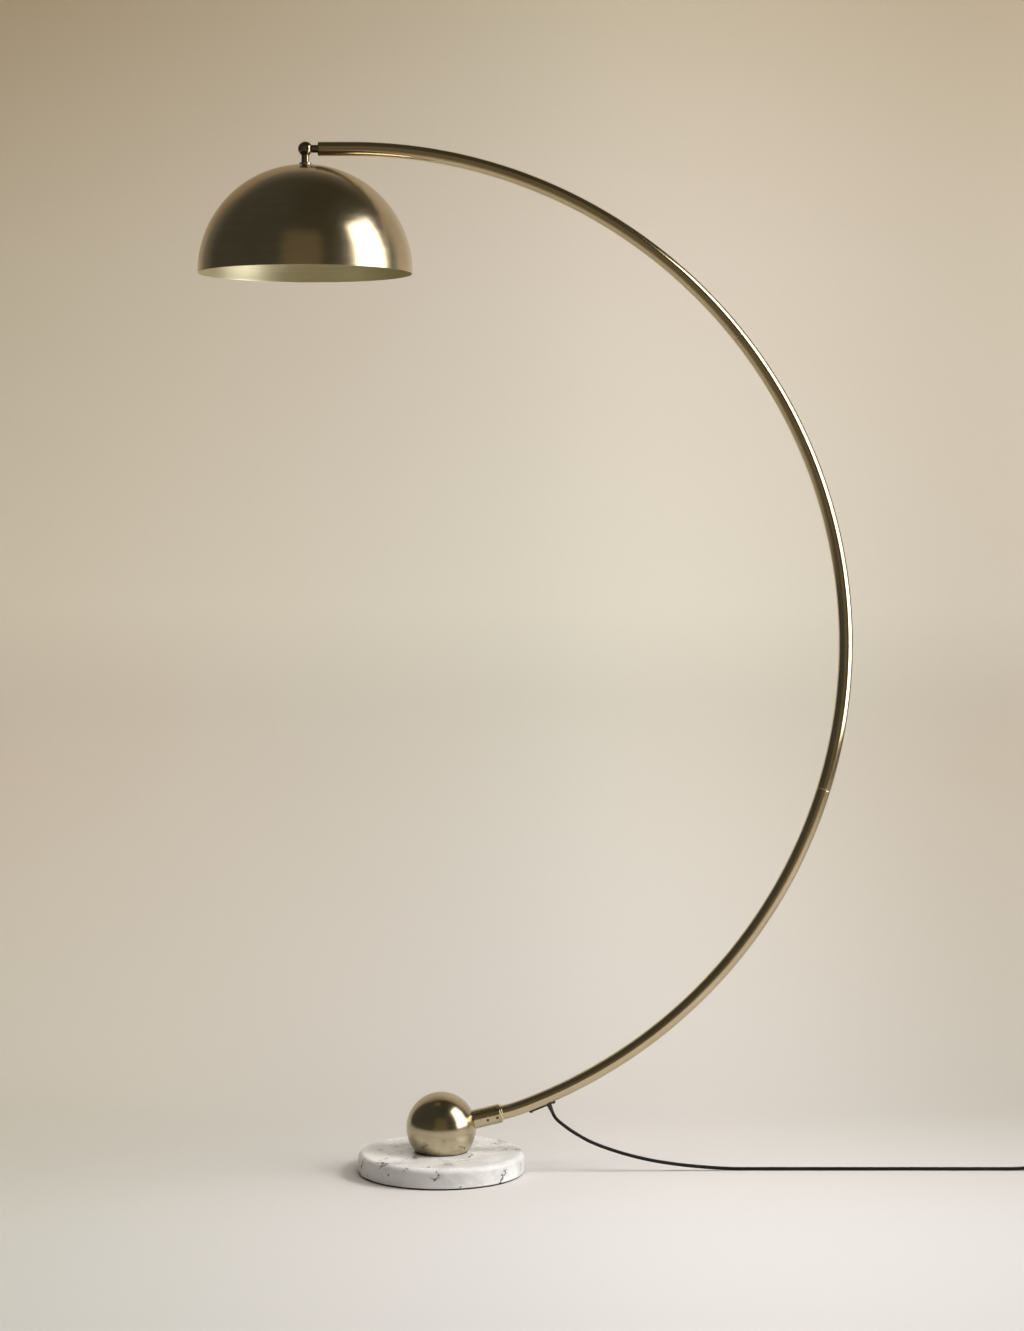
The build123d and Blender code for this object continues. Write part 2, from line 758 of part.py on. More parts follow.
with BuildPart() as shade_dome:
    with BuildSketch(Plane(origin=dome_centre, x_dir=(1, 0, 0), z_dir=(0, -1, 0))):
        with BuildLine():
            outer = CenterArc((0, 0), dome_radius, 0, 90)
            Line(outer @ 1, (0, dome_inside))
            inner = CenterArc((0, 0), dome_inside, 0, 90)
            Line(inner @ 0, (dome_inside, -dome_skirt))
            Line((dome_inside, -dome_skirt), (dome_radius, -dome_skirt))
            Line((dome_radius, -dome_skirt), outer @ 0)
        make_face()
    revolve(axis=Axis(dome_centre, (0, 0, 1)))
    with BuildSketch(stem_plane(stem_drop - beyond)):
        Circle(stem_thread_radius + slip)
    extrude(amount=dome_wall + 3 * beyond, mode=Mode.SUBTRACT)
shade_dome.part.label = "shade_dome"
export_step(shade_dome.part, "parts/shade_dome.step")

with BuildPart() as shade_nut:
    with BuildSketch(stem_plane(shade_nut_top)):
        RegularPolygon(radius=shade_nut_flats / 2, side_count=6, major_radius=False)
        Circle(stem_thread_radius + slip, mode=Mode.SUBTRACT)
    extrude(amount=shade_nut_height)
    with BuildSketch(stem_plane(shade_nut_top)):
        Circle(shade_nut_flats / 2)
    extrude(amount=shade_nut_height, mode=Mode.INTERSECT)
shade_nut.part.label = "shade_nut"
export_step(shade_nut.part, "parts/shade_nut.step")


# Lampholder and bulb, on the same stem

with BuildPart() as holder_cup:
    with BuildSketch(stem_plane(cup_top)):
        Circle(cup_radius)
    extrude(amount=cup_height)
    fillet(holder_cup.edges().sort_by(Axis.Z)[-1], radius=cup_edge_radius)
    offset(amount=-cup_wall, openings=holder_cup.faces().sort_by(Axis.Z)[0])
    with BuildSketch(stem_plane(cup_top)):
        Circle(stem_thread_radius + slip)
    extrude(amount=cup_height, mode=Mode.SUBTRACT)
holder_cup.part.label = "holder_cup"
export_step(holder_cup.part, "parts/holder_cup.step")

with BuildPart() as holder_nut:
    with BuildSketch(stem_plane(cup_nut_top)):
        ring(cup_nut_radius, stem_thread_radius + slip)
    extrude(amount=cup_nut_height)
holder_nut.part.label = "holder_nut"
export_step(holder_nut.part, "parts/holder_nut.step")

holder_start = stem_end + lead_radius
holder_floor = holder_start + holder_top

with BuildPart() as holder_body:
    with BuildSketch(stem_plane(holder_start)):
        Circle(holder_radius)
    extrude(amount=holder_height)
    with BuildSketch(stem_plane(holder_floor)):
        Circle(holder_bore)
    extrude(amount=holder_height, mode=Mode.SUBTRACT)
    with BuildSketch(stem_plane(holder_start)):
        with Locations((0, lead_offset)):
            Circle(lead_radius + loose)
    extrude(amount=holder_top, mode=Mode.SUBTRACT)
holder_body.part.label = "holder_body"
export_step(holder_body.part, "parts/holder_body.step")

with BuildPart() as holder_shell:
    with BuildSketch(stem_plane(holder_floor)):
        ring(shell_radius, shell_bore)
    extrude(amount=shell_height)
holder_shell.part.label = "holder_shell"
export_step(holder_shell.part, "parts/holder_shell.step")

with BuildPart() as holder_contact:
    with BuildSketch(stem_plane(holder_floor)):
        with Locations((0, -contact_shift)):
            Rectangle(contact_width, contact_width)
    extrude(amount=contact_thickness)
    with BuildSketch(stem_plane(holder_floor + contact_thickness)):
        Circle(contact_dimple_radius)
    extrude(amount=contact_thickness)
holder_contact.part.label = "holder_contact"
export_step(holder_contact.part, "parts/holder_contact.step")

with BuildPart() as shade_lead:
    with BuildSketch(stem_plane(swivel_boss_radius + lead_end_room)):
        with Locations((0, lead_offset)):
            Circle(lead_radius)
    extrude(amount=holder_floor - swivel_boss_radius - lead_end_room)
shade_lead.part.label = "shade_lead"
export_step(shade_lead.part, "parts/shade_lead.step")

bulb_top = holder_floor + 2 * contact_thickness
bulb_cap_top = bulb_top + bulb_insulator_height
bulb_glass_top = bulb_cap_top + bulb_cap_height
bulb_bottom = bulb_top + bulb_length

with BuildPart() as bulb_insulator:
    with BuildSketch(stem_plane(bulb_top)):
        Circle(bulb_insulator_tip)
    with BuildSketch(stem_plane(bulb_cap_top)):
        Circle(bulb_cap_radius - bulb_insulator_step)
    loft()
bulb_insulator.part.label = "bulb_insulator"
export_step(bulb_insulator.part, "parts/bulb_insulator.step")

with BuildPart() as bulb_cap:
    with BuildSketch(stem_plane(bulb_cap_top)):
        Circle(bulb_cap_radius)
    extrude(amount=bulb_cap_height)
    chamfer(bulb_cap.edges().sort_by(Axis.Z)[-1], length=bulb_cap_chamfer)
bulb_cap.part.label = "bulb_cap"
export_step(bulb_cap.part, "parts/bulb_cap.step")

with BuildPart() as bulb_glass:
    for shrink, way in ((0, Mode.ADD), (bulb_wall, Mode.SUBTRACT)):
        with BuildSketch(Plane(origin=pivot, x_dir=(1, 0, 0), z_dir=(0, -1, 0))):
            with BuildLine():
                globe = CenterArc((0, bulb_radius - bulb_bottom), bulb_radius - shrink, -90, bulb_globe_turn)
                neck = (bulb_neck_radius - shrink, -bulb_glass_top)
                Line(globe @ 0, (0, -bulb_glass_top))
                Line((0, -bulb_glass_top), neck)
                Spline(neck, globe @ 1, tangents=((0, -1), (globe % 1) * -1))
            make_face()
        revolve(axis=Axis(pivot, (0, 0, 1)), mode=way)
bulb_glass.part.label = "bulb_glass"
export_step(bulb_glass.part, "parts/bulb_glass.step")


# Cord: straight runs joined by arcs as large as the runs allow

cord_exit = arm_point(exit_turn, relief_tip)
switch_inlet = Vector(switch_inlet_x, cord_side, switch_entry_height)
switch_start = switch_inlet_x + switch_relief_length
switch_end = switch_start + switch_length
switch_centre = Vector(switch_start + switch_length / 2, cord_side, 0)
switch_outlet = Vector(switch_end + switch_relief_length, cord_side, switch_entry_height)
plug_inlet = Vector(plug_tip[0], plug_tip[1], plug_entry_height)

lamp_cord_route = [
    cord_exit,
    cord_exit + outward(exit_turn) * 8.5,
    Vector(202.1, 0, 91.1),
    Vector(212.3, 0, 82.7),
    Vector(230.5, 0.1, 69.2),
    Vector(263, 0.4, 50.6),
    Vector(307, 1.2, 34.6),
    Vector(356, 3, 21.2),
    Vector(405, 5.6, 12.4),
    Vector(455, 8.2, 6.6),
    Vector(505, 10.2, 3),
    Vector(1019, 9.8, 3),
    switch_inlet - Vector(9, 0, 0),
    switch_inlet,
]
plug_cord_route = [
    switch_outlet,
    switch_outlet + Vector(8.5, 0, 0),
    switch_outlet + Vector(21, 0.1, -3.1),
]
tail_route = [
    Vector(1176, 85.3, 10.2),
    Vector(1161, 86.9, 9.6),
    plug_inlet + Vector(14, 0, 0),
    plug_inlet,
]


def cord_radii(route):
    """Largest arcs that each corner's two runs allow: 0.45 of the shorter run over the tangent of half the turn."""
    radii = []
    for before, corner, after in zip(route, route[1:], route[2:]):
        arriving = corner - before
        leaving = after - corner
        turn = math.radians(arriving.get_angle(leaving))
        radii.append(0.45 * min(arriving.length, leaving.length) / math.tan(turn / 2))
    return radii


def cord_length(line):
    """Length of all the edges of a cord's path."""
    return sum(edge.length for edge in line.edges())


def report_cord(name, route, path, tube):
    """Prints a cord's length, its arcs, and its volume against section times length."""
    section = math.pi * cord_radius**2
    length = cord_length(path)
    print(name, "length", round(length, 1), "radii", [round(radius) for radius in cord_radii(route)])
    print(name, "volume ratio", round(tube.volume / (section * length), 5))


with BuildPart() as lamp_cord:
    with BuildLine() as lamp_cord_path:
        FilletPolyline(*lamp_cord_route, radius=cord_radii(lamp_cord_route))
    with BuildSketch(Plane(origin=lamp_cord_route[0], z_dir=lamp_cord_route[1] - lamp_cord_route[0])):
        Circle(cord_radius)
    sweep(path=lamp_cord_path.line)
lamp_cord.part.label = "lamp_cord"
export_step(lamp_cord.part, "parts/lamp_cord.step")
report_cord("lamp_cord", lamp_cord_route, lamp_cord_path.line, lamp_cord.part)

with BuildPart() as plug_cord:
    with BuildLine() as plug_cord_path:
        FilletPolyline(*plug_cord_route, radius=cord_radii(plug_cord_route))
    with BuildSketch(Plane(origin=plug_cord_route[0], z_dir=plug_cord_route[1] - plug_cord_route[0])):
        Circle(cord_radius)
    sweep(path=plug_cord_path.line)
plug_cord.part.label = "plug_cord"
export_step(plug_cord.part, "parts/plug_cord.step")
report_cord("plug_cord", plug_cord_route, plug_cord_path.line, plug_cord.part)

with BuildPart() as cord_tail:
    with BuildLine() as cord_tail_path:
        FilletPolyline(*tail_route, radius=cord_radii(tail_route))
    with BuildSketch(Plane(origin=tail_route[0], z_dir=tail_route[1] - tail_route[0])):
        Circle(cord_radius)
    sweep(path=cord_tail_path.line)
cord_tail.part.label = "cord_tail"
export_step(cord_tail.part, "parts/cord_tail.step")
report_cord("cord_tail", tail_route, cord_tail_path.line, cord_tail.part)

coil_bottom = tie_wall
with BuildPart() as cord_coil:
    with BuildSketch(Plane.XY.offset(coil_bottom)):
        with Locations(coil_centre):
            ring(coil_outer_radius, coil_inner_radius)
    extrude(amount=coil_height)
    fillet(cord_coil.edges().filter_by(GeomType.CIRCLE), radius=coil_edge_radius)
cord_coil.part.label = "cord_coil"
export_step(cord_coil.part, "parts/cord_coil.step")

coil_middle = (coil_inner_radius + coil_outer_radius) / 2
tie_bore_width = coil_outer_radius - coil_inner_radius + 2 * tie_gap
with BuildPart() as coil_tie:
    with BuildSketch(Plane(origin=(coil_centre[0], 0, 0), x_dir=(0, 1, 0), z_dir=(1, 0, 0))):
        with Locations((coil_centre[1] - coil_middle, coil_bottom + coil_height / 2)):
            RectangleRounded(tie_bore_width + 2 * tie_wall, coil_height + 2 * tie_wall, tie_corner_radius)
            RectangleRounded(tie_bore_width, coil_height, tie_corner_radius - tie_wall, mode=Mode.SUBTRACT)
    extrude(amount=tie_width / 2, both=True)
coil_tie.part.label = "coil_tie"
export_step(coil_tie.part, "parts/coil_tie.step")


# Foot switch

cover_top = switch_base_height + switch_cover_height
roof_underside = cover_top - switch_wall

with BuildPart() as switch_base:
    with BuildSketch():
        with Locations((switch_centre.X, switch_centre.Y)):
            SlotOverall(switch_length, switch_width)
    extrude(amount=switch_base_height)
    chamfer(switch_base.edges().group_by(Axis.Z)[0], length=switch_foot_chamfer)
switch_base.part.label = "switch_base"
export_step(switch_base.part, "parts/switch_base.step")

with BuildPart() as switch_cover:
    with BuildSketch(Plane.XY.offset(switch_base_height)):
        with Locations((switch_centre.X, switch_centre.Y)):
            SlotOverall(switch_length, switch_width)
    extrude(amount=switch_cover_height)
    fillet(switch_cover.edges().group_by(Axis.Z)[-1], radius=switch_edge_radius)
    offset(amount=-switch_wall, openings=switch_cover.faces().sort_by(Axis.Z)[0])
    with BuildSketch(Plane.XY.offset(switch_base_height)):
        with Locations((switch_centre.X, switch_centre.Y)):
            Circle(button_radius + button_clearance)
    extrude(amount=switch_cover_height, mode=Mode.SUBTRACT)
    with BuildSketch(Plane(origin=(switch_start - beyond, cord_side, switch_entry_height), z_dir=(1, 0, 0))):
        Circle(switch_relief_neck + slip)
    extrude(amount=switch_length + 2 * beyond, mode=Mode.SUBTRACT)
switch_cover.part.label = "switch_cover"
export_step(switch_cover.part, "parts/switch_cover.step")

flange_top = roof_underside - button_play
flange_bottom = flange_top - button_flange_height
with BuildPart() as switch_button:
    with BuildSketch(Plane.XY.offset(flange_bottom)):
        with Locations((switch_centre.X, switch_centre.Y)):
            Circle(button_flange_radius)
    extrude(amount=button_flange_height)
    with BuildSketch(Plane.XY.offset(flange_bottom)):
        with Locations((switch_centre.X, switch_centre.Y)):
            Circle(button_radius)
    extrude(amount=cover_top + button_rise - flange_bottom)
    fillet(switch_button.edges().sort_by(Axis.Z)[-1], radius=button_edge_radius)
switch_button.part.label = "switch_button"
export_step(switch_button.part, "parts/switch_button.step")

block_top = flange_bottom - button_travel - switch_block_room
with BuildPart() as switch_block:
    with BuildSketch(Plane.XY.offset(switch_base_height)):
        with Locations((switch_centre.X, switch_centre.Y)):
            Rectangle(switch_block_length, switch_block_width)
    extrude(amount=block_top - switch_base_height)
switch_block.part.label = "switch_block"
export_step(switch_block.part, "parts/switch_block.step")

with BuildPart() as switch_reliefs:
    for end, face, way in ((switch_start, switch_inlet.X, 1), (switch_end, switch_outlet.X, -1)):
        with BuildSketch(Plane(origin=(face, cord_side, switch_entry_height), z_dir=(way, 0, 0))):
            Circle(cord_radius + relief_lip)
        with BuildSketch(Plane(origin=(end, cord_side, switch_entry_height), z_dir=(way, 0, 0))):
            Circle(switch_relief_root)
        loft()
        with BuildSketch(Plane(origin=(end, cord_side, switch_entry_height), z_dir=(way, 0, 0))):
            Circle(switch_relief_neck)
        extrude(amount=2 * switch_wall)
switch_reliefs.part.label = "switch_reliefs"
export_step(switch_reliefs.part, "parts/switch_reliefs.step")


# Plug, lying flat with its pins along -X

plug_back = plug_tip[0] - plug_relief_length
plug_front = plug_back - plug_body_length
plug_bottom = plug_entry_height - plug_height / 2
with BuildPart() as plug_body:
    with BuildSketch(Plane.XY.offset(plug_bottom)):
        with BuildLine():
            Polyline(
                (plug_front, plug_tip[1] - plug_width / 2),
                (plug_front + plug_shoulder, plug_tip[1] - plug_width / 2),
                (plug_back, plug_tip[1] - plug_neck_width / 2),
                (plug_back, plug_tip[1] + plug_neck_width / 2),
                (plug_front + plug_shoulder, plug_tip[1] + plug_width / 2),
                (plug_front, plug_tip[1] + plug_width / 2),
                close=True,
            )
        make_face()
    extrude(amount=plug_height)
    fillet(plug_body.edges().filter_by(Axis.Z), radius=plug_corner_radius)
    fillet(plug_body.edges().group_by(Axis.Z)[-1], radius=plug_edge_radius)
    fillet(plug_body.edges().group_by(Axis.Z)[0], radius=plug_edge_radius)
    with BuildSketch(Plane(origin=(plug_back - beyond, plug_tip[1], plug_entry_height), z_dir=(1, 0, 0))):
        Circle(plug_relief_root)
    with BuildSketch(Plane(origin=(plug_tip[0], plug_tip[1], plug_entry_height), z_dir=(1, 0, 0))):
        Circle(cord_radius + relief_lip)
    loft()
plug_body.part.label = "plug_body"
export_step(plug_body.part, "parts/plug_body.step")

with BuildPart() as plug_pins:
    for side in (-1, 1):
        pin_foot = (plug_front, plug_tip[1] + side * pin_spacing / 2, plug_entry_height)
        with BuildSketch(Plane(origin=pin_foot, z_dir=(-1, 0, 0))):
            Circle(pin_radius)
        extrude(amount=pin_length)
plug_pins.part.label = "plug_pins"
export_step(plug_pins.part, "parts/plug_pins.step")

print("pivot", pivot, "arm centre", arm_centre, "cord exit", cord_exit, "exit heading", outward(exit_turn))
print("rim height", dome_centre.Z - dome_skirt, "bulb bottom", pivot.Z - bulb_bottom)
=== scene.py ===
"""Arc floor lamp: its looks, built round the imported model.

Metres, Z up, X towards the side that the arc bulges to."""

import math

import bpy
import numpy as np
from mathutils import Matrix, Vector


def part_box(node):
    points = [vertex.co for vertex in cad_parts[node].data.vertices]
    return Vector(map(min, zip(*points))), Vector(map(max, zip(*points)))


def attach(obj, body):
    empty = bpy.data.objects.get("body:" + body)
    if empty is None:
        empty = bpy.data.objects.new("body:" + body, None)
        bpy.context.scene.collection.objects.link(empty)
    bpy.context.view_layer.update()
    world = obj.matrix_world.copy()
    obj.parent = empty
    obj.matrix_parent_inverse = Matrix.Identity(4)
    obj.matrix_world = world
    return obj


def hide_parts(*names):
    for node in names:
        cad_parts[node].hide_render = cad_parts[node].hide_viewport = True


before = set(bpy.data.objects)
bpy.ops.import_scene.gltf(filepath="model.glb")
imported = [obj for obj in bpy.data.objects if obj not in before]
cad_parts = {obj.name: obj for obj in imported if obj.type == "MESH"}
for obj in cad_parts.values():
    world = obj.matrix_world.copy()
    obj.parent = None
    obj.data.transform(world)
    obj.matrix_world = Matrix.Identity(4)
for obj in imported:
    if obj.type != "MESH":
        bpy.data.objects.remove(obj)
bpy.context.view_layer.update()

MM = 0.001


# Camera: level, on the lamp's open side, with a lens shift that lowers the view

CAMERA_PLACE = (0.1236, -5.082, 1.142)
CAMERA_LENS, CAMERA_SHIFT = 78.55, -0.110
camera = bpy.data.objects.new("camera", bpy.data.cameras.new("camera"))
bpy.context.collection.objects.link(camera)
camera.location = CAMERA_PLACE
camera.rotation_euler = (math.pi / 2, 0, 0)
camera.data.lens = CAMERA_LENS
camera.data.shift_y = CAMERA_SHIFT
bpy.context.scene.camera = camera
bpy.context.scene.view_settings.view_transform = "Standard"


# Shared shader helpers

def node(tree, kind, **settings):
    """Adds a shader node. Settings are its properties, or the values of its inputs by name, with _ for
    a space."""
    made = tree.nodes.new(kind)
    for key, value in settings.items():
        if hasattr(made, key):
            setattr(made, key, value)
        else:
            made.inputs[key.replace("_", " ")].default_value = value
    return made


def math_node(tree, operation, *values, clamp=False):
    """A Math node; each value is a number or the output socket that feeds it."""
    made = tree.nodes.new("ShaderNodeMath")
    made.operation = operation
    made.use_clamp = clamp
    for socket, value in zip(made.inputs, values):
        if isinstance(value, bpy.types.NodeSocket):
            tree.links.new(value, socket)
        else:
            socket.default_value = value
    return made.outputs[0]


def times(tree, one, other, clamp=False):
    """The product of two numbers or sockets."""
    return math_node(tree, "MULTIPLY", one, other, clamp=clamp)


def between(tree, value, low, high, to_low=0.0, to_high=1.0, smooth=True):
    """Map Range: low..high becomes to_low..to_high."""
    made = node(tree, "ShaderNodeMapRange", interpolation_type="SMOOTHSTEP" if smooth else "LINEAR")
    for name, number in (("From Min", low), ("From Max", high), ("To Min", to_low), ("To Max", to_high)):
        made.inputs[name].default_value = number
    tree.links.new(value, made.inputs["Value"])
    return made.outputs["Result"]


def blend_colours(tree, factor, first, second):
    """Mix of two colours, each a colour or an output socket, by a factor socket."""
    made = node(tree, "ShaderNodeMix", data_type="RGBA")
    tree.links.new(factor, made.inputs["Factor"])
    for socket, colour in ((made.inputs[6], first), (made.inputs[7], second)):
        if isinstance(colour, bpy.types.NodeSocket):
            tree.links.new(colour, socket)
        else:
            socket.default_value = (*colour, 1)
    return made.outputs[2]


def new_group(name, inputs, outputs):
    """An empty node group of numbers: inputs are (name, default) and outputs are names. Returns the group,
    the sockets that it is given and the sockets of its result."""
    group = bpy.data.node_groups.new(name, "ShaderNodeTree")
    face = group.interface
    for label, default in inputs:
        socket = face.new_socket(label, in_out="INPUT", socket_type="NodeSocketFloat")
        socket.default_value = default
    for label in outputs:
        face.new_socket(label, in_out="OUTPUT", socket_type="NodeSocketFloat")
    return group, group.nodes.new("NodeGroupInput").outputs, group.nodes.new("NodeGroupOutput").inputs


def scaled_noise(tree, vector, scale, detail=3.0, roughness=0.5, distortion=0.0):
    """Noise over a vector socket; scale is a number or a socket."""
    made = node(tree, "ShaderNodeTexNoise", Detail=detail, Roughness=roughness, Distortion=distortion)
    tree.links.new(vector, made.inputs["Vector"])
    if isinstance(scale, bpy.types.NodeSocket):
        tree.links.new(scale, made.inputs["Scale"])
    else:
        made.inputs["Scale"].default_value = scale
    return made.outputs["Fac"]


def make_grain_group():
    """Fine grain of moulded or cast surfaces: two sizes of noise added, and a slow cloud for smudges."""
    group, given, result = new_group(
        "Surface grain", [("Grain per metre", 900.0), ("Cloud per metre", 12.0)], ["Height", "Cloud"],
    )
    place = group.nodes.new("ShaderNodeTexCoord").outputs["Object"]
    fine = scaled_noise(group, place, given["Grain per metre"], detail=4)
    cloud = scaled_noise(group, place, given["Cloud per metre"], detail=5, roughness=0.6)
    group.links.new(fine, result["Height"])
    group.links.new(between(group, cloud, 0.3, 0.7), result["Cloud"])
    return group


def make_brush_group():
    """Brush lines: two sizes of noise over the piece's own grain attribute, whose three numbers are the
    cosine and sine round the piece and the distance along its profile. Large Lines per metre with small
    Round makes lines that go round. Large Round with small Lines per metre makes lines that go along."""
    group, given, result = new_group(
        "Brush lines", [("Lines per metre", 2500.0), ("Round", 3.0)], ["Height", "Streak"],
    )
    grain = node(group, "ShaderNodeAttribute", attribute_name="grain").outputs["Vector"]
    heights = []
    for factor in (1.0, 0.23):
        stretch = group.nodes.new("ShaderNodeCombineXYZ")
        for socket in (0, 1):
            group.links.new(given["Round"], stretch.inputs[socket])
        group.links.new(times(group, given["Lines per metre"], factor), stretch.inputs[2])
        product = node(group, "ShaderNodeVectorMath", operation="MULTIPLY")
        group.links.new(grain, product.inputs[0])
        group.links.new(stretch.outputs[0], product.inputs[1])
        heights.append(scaled_noise(group, product.outputs[0], 1.0, detail=2))
    total = math_node(group, "ADD", heights[0], heights[1])
    group.links.new(times(group, total, 0.5), result["Height"])
    group.links.new(between(group, heights[1], 0.35, 0.65), result["Streak"])
    return group


def make_crack_group():
    """Veins: a thin line wherever warped noise crosses its middle value, kept only where a second noise
    is high."""
    group, given, result = new_group("Stone veins", [
        ("Veins per metre", 20.0), ("Width", 0.02), ("Patches per metre", 14.0), ("Rarity", 0.55),
    ], ["Vein"])
    patch_edge = 9.0
    place = group.nodes.new("ShaderNodeTexCoord").outputs["Object"]
    veins = given["Veins per metre"]
    field = scaled_noise(group, place, veins, detail=7, roughness=0.62, distortion=0.9)
    ridge = math_node(group, "ABSOLUTE", math_node(group, "SUBTRACT", field, 0.5))
    across = math_node(group, "DIVIDE", ridge, given["Width"])
    line = math_node(group, "SUBTRACT", 1.0, across, clamp=True)
    patch = scaled_noise(group, place, given["Patches per metre"], detail=3)
    above = math_node(group, "SUBTRACT", patch, given["Rarity"])
    kept = times(group, above, patch_edge, clamp=True)
    group.links.new(times(group, line, kept), result["Vein"])
    return group


GRAIN = make_grain_group()
BRUSH = make_brush_group()
CRACKS = make_crack_group()


def use_group(tree, group, **values):
    """Places a group in a material, with its own numbers; a space in an input's name is written _."""
    made = tree.nodes.new("ShaderNodeGroup")
    made.node_tree = group
    for key, value in values.items():
        made.inputs[key.replace("_", " ")].default_value = value
    return made.outputs


def new_material(name, **settings):
    """A material with a Principled shader whose fixed numbers are set on its own sockets."""
    made = bpy.data.materials.new(name)
    made.use_nodes = True
    shader = made.node_tree.nodes["Principled BSDF"]
    for key, value in settings.items():
        shader.inputs[key.replace("_", " ")].default_value = value
    return made, made.node_tree, shader


def add_bump(tree, shader, height, strength, depth):
    """Feeds the shader's Normal from a height, depth in metres."""
    bump = node(tree, "ShaderNodeBump", Strength=strength, Distance=depth)
    tree.links.new(height, bump.inputs["Height"])
    tree.links.new(bump.outputs[0], shader.inputs["Normal"])


def add_gloss(tree, shader, mask, rough, spread):
    """Feeds Roughness: rough - spread / 2 where the mask is 0, and rough + spread / 2 where it is 1."""
    gloss = math_node(tree, "ADD", times(tree, mask, spread), rough - spread / 2)
    tree.links.new(gloss, shader.inputs["Roughness"])


def brushed_metal(name, dull, bright, rough, lines, across, strength, cloud=9.0, spread=0.07):
    """Metal with brush lines. They and a slow cloud, as from handling, change its colour and gloss."""
    streak_share = 0.45
    made, tree, shader = new_material(name, Metallic=1.0)
    brush = use_group(tree, BRUSH, Lines_per_metre=lines, Round=across)
    smudge = use_group(tree, GRAIN, Grain_per_metre=700.0, Cloud_per_metre=cloud)
    mixed = math_node(
        tree, "ADD", times(tree, brush["Streak"], streak_share),
        times(tree, smudge["Cloud"], 1 - streak_share),
    )
    tree.links.new(blend_colours(tree, mixed, dull, bright), shader.inputs["Base Color"])
    add_gloss(tree, shader, mixed, rough, spread)
    add_bump(tree, shader, brush["Height"], strength, 0.05 * MM)
    return made


def grained(
    name, dark, light, rough, grain, strength, depth=0.05 * MM, metallic=0.0, cloud=14.0, spread=0.1,
    **settings,
):
    """Plastic, rubber, glass or plain metal: fine grain, and a slow cloud that changes colour and gloss."""
    made, tree, shader = new_material(name, Metallic=metallic, **settings)
    surface = use_group(tree, GRAIN, Grain_per_metre=grain, Cloud_per_metre=cloud)
    tree.links.new(blend_colours(tree, surface["Cloud"], dark, light), shader.inputs["Base Color"])
    add_gloss(tree, shader, surface["Cloud"], rough, spread)
    add_bump(tree, shader, surface["Height"], strength, depth)
    return made


def polished(name, dark, light, rough, grain, strength):
    """Metal that is smoother and more even than the other plain ones."""
    return grained(name, dark, light, rough, grain, strength, 0.02 * MM, metallic=1.0, spread=0.05)


def white_marble():
    """White stone with grey clouds, soft grey veins and a few short dark cracks, honed and waxed."""
    made, tree, shader = new_material("white marble", IOR=1.5)
    place = tree.nodes.new("ShaderNodeTexCoord").outputs["Object"]
    white, cloud_grey, vein_grey = (0.66, 0.655, 0.65), (0.48, 0.48, 0.485), (0.33, 0.33, 0.335)
    crack_dark = (0.03, 0.03, 0.032)
    cloud = scaled_noise(tree, place, 11.0, detail=6, roughness=0.6, distortion=0.6)
    cloud = between(tree, cloud, 0.40, 0.72)
    soft = use_group(
        tree, CRACKS, Veins_per_metre=9.0, Width=0.07, Patches_per_metre=10.0, Rarity=0.43,
    )["Vein"]
    crack = use_group(
        tree, CRACKS, Veins_per_metre=21.0, Width=0.04, Patches_per_metre=34.0, Rarity=0.525,
    )["Vein"]
    crack = between(tree, crack, 0.15, 0.6)
    colour = blend_colours(tree, cloud, white, cloud_grey)
    colour = blend_colours(tree, times(tree, soft, 0.35), colour, vein_grey)
    colour = blend_colours(tree, times(tree, crack, 0.92), colour, crack_dark)
    tree.links.new(colour, shader.inputs["Base Color"])
    add_gloss(tree, shader, cloud, rough=0.30, spread=0.08)
    add_bump(tree, shader, math_node(tree, "SUBTRACT", 1.0, crack), 0.25, 0.15 * MM)
    return made


def woven_strap():
    """Hook-and-loop strap: a plain weave over the strap's own map, along its length and across it."""
    made, tree, shader = new_material("strap weave", Roughness=0.9)
    grain = node(tree, "ShaderNodeAttribute", attribute_name="grain").outputs["Vector"]
    parts = tree.nodes.new("ShaderNodeSeparateXYZ")
    tree.links.new(grain, parts.inputs[0])
    threads = 5200.0
    warp = math_node(tree, "SINE", times(tree, parts.outputs[0], threads))
    weft = math_node(tree, "SINE", times(tree, parts.outputs[2], threads))
    height = times(tree, math_node(tree, "ADD", times(tree, warp, weft), 1.0), 0.5)
    colour = blend_colours(tree, height, (0.012, 0.012, 0.012), (0.04, 0.04, 0.042))
    tree.links.new(colour, shader.inputs["Base Color"])
    add_bump(tree, shader, height, 0.6, 0.25 * MM)
    return made


DOME_BRASS = brushed_metal(
    "dome brass", (0.47, 0.39, 0.26), (0.58, 0.49, 0.345), rough=0.21, lines=2600.0, across=2.0,
    strength=0.8,
)
DOME_LINING = brushed_metal(
    "dome lining", (0.63, 0.585, 0.40), (0.73, 0.685, 0.50), rough=0.45, lines=1500.0, across=1.5,
    strength=0.4,
)
BALL_BRASS = brushed_metal(
    "ball brass", (0.44, 0.38, 0.25), (0.53, 0.465, 0.325), rough=0.2, lines=2600.0, across=2.0,
    strength=0.03, spread=0.05,
)
TUBE_BRASS = brushed_metal(
    "tube brass", (0.50, 0.415, 0.265), (0.62, 0.53, 0.37), rough=0.13, lines=25.0, across=60.0,
    strength=0.06, cloud=6.0, spread=0.05,
)
FITTING_BRASS = polished(
    "fitting brass", (0.48, 0.405, 0.27), (0.58, 0.50, 0.355), rough=0.15, grain=1600.0,
    strength=0.08,
)
BARE_BRASS = polished(
    "bare brass", (0.74, 0.62, 0.40), (0.85, 0.74, 0.52), rough=0.16, grain=1500.0, strength=0.08,
)
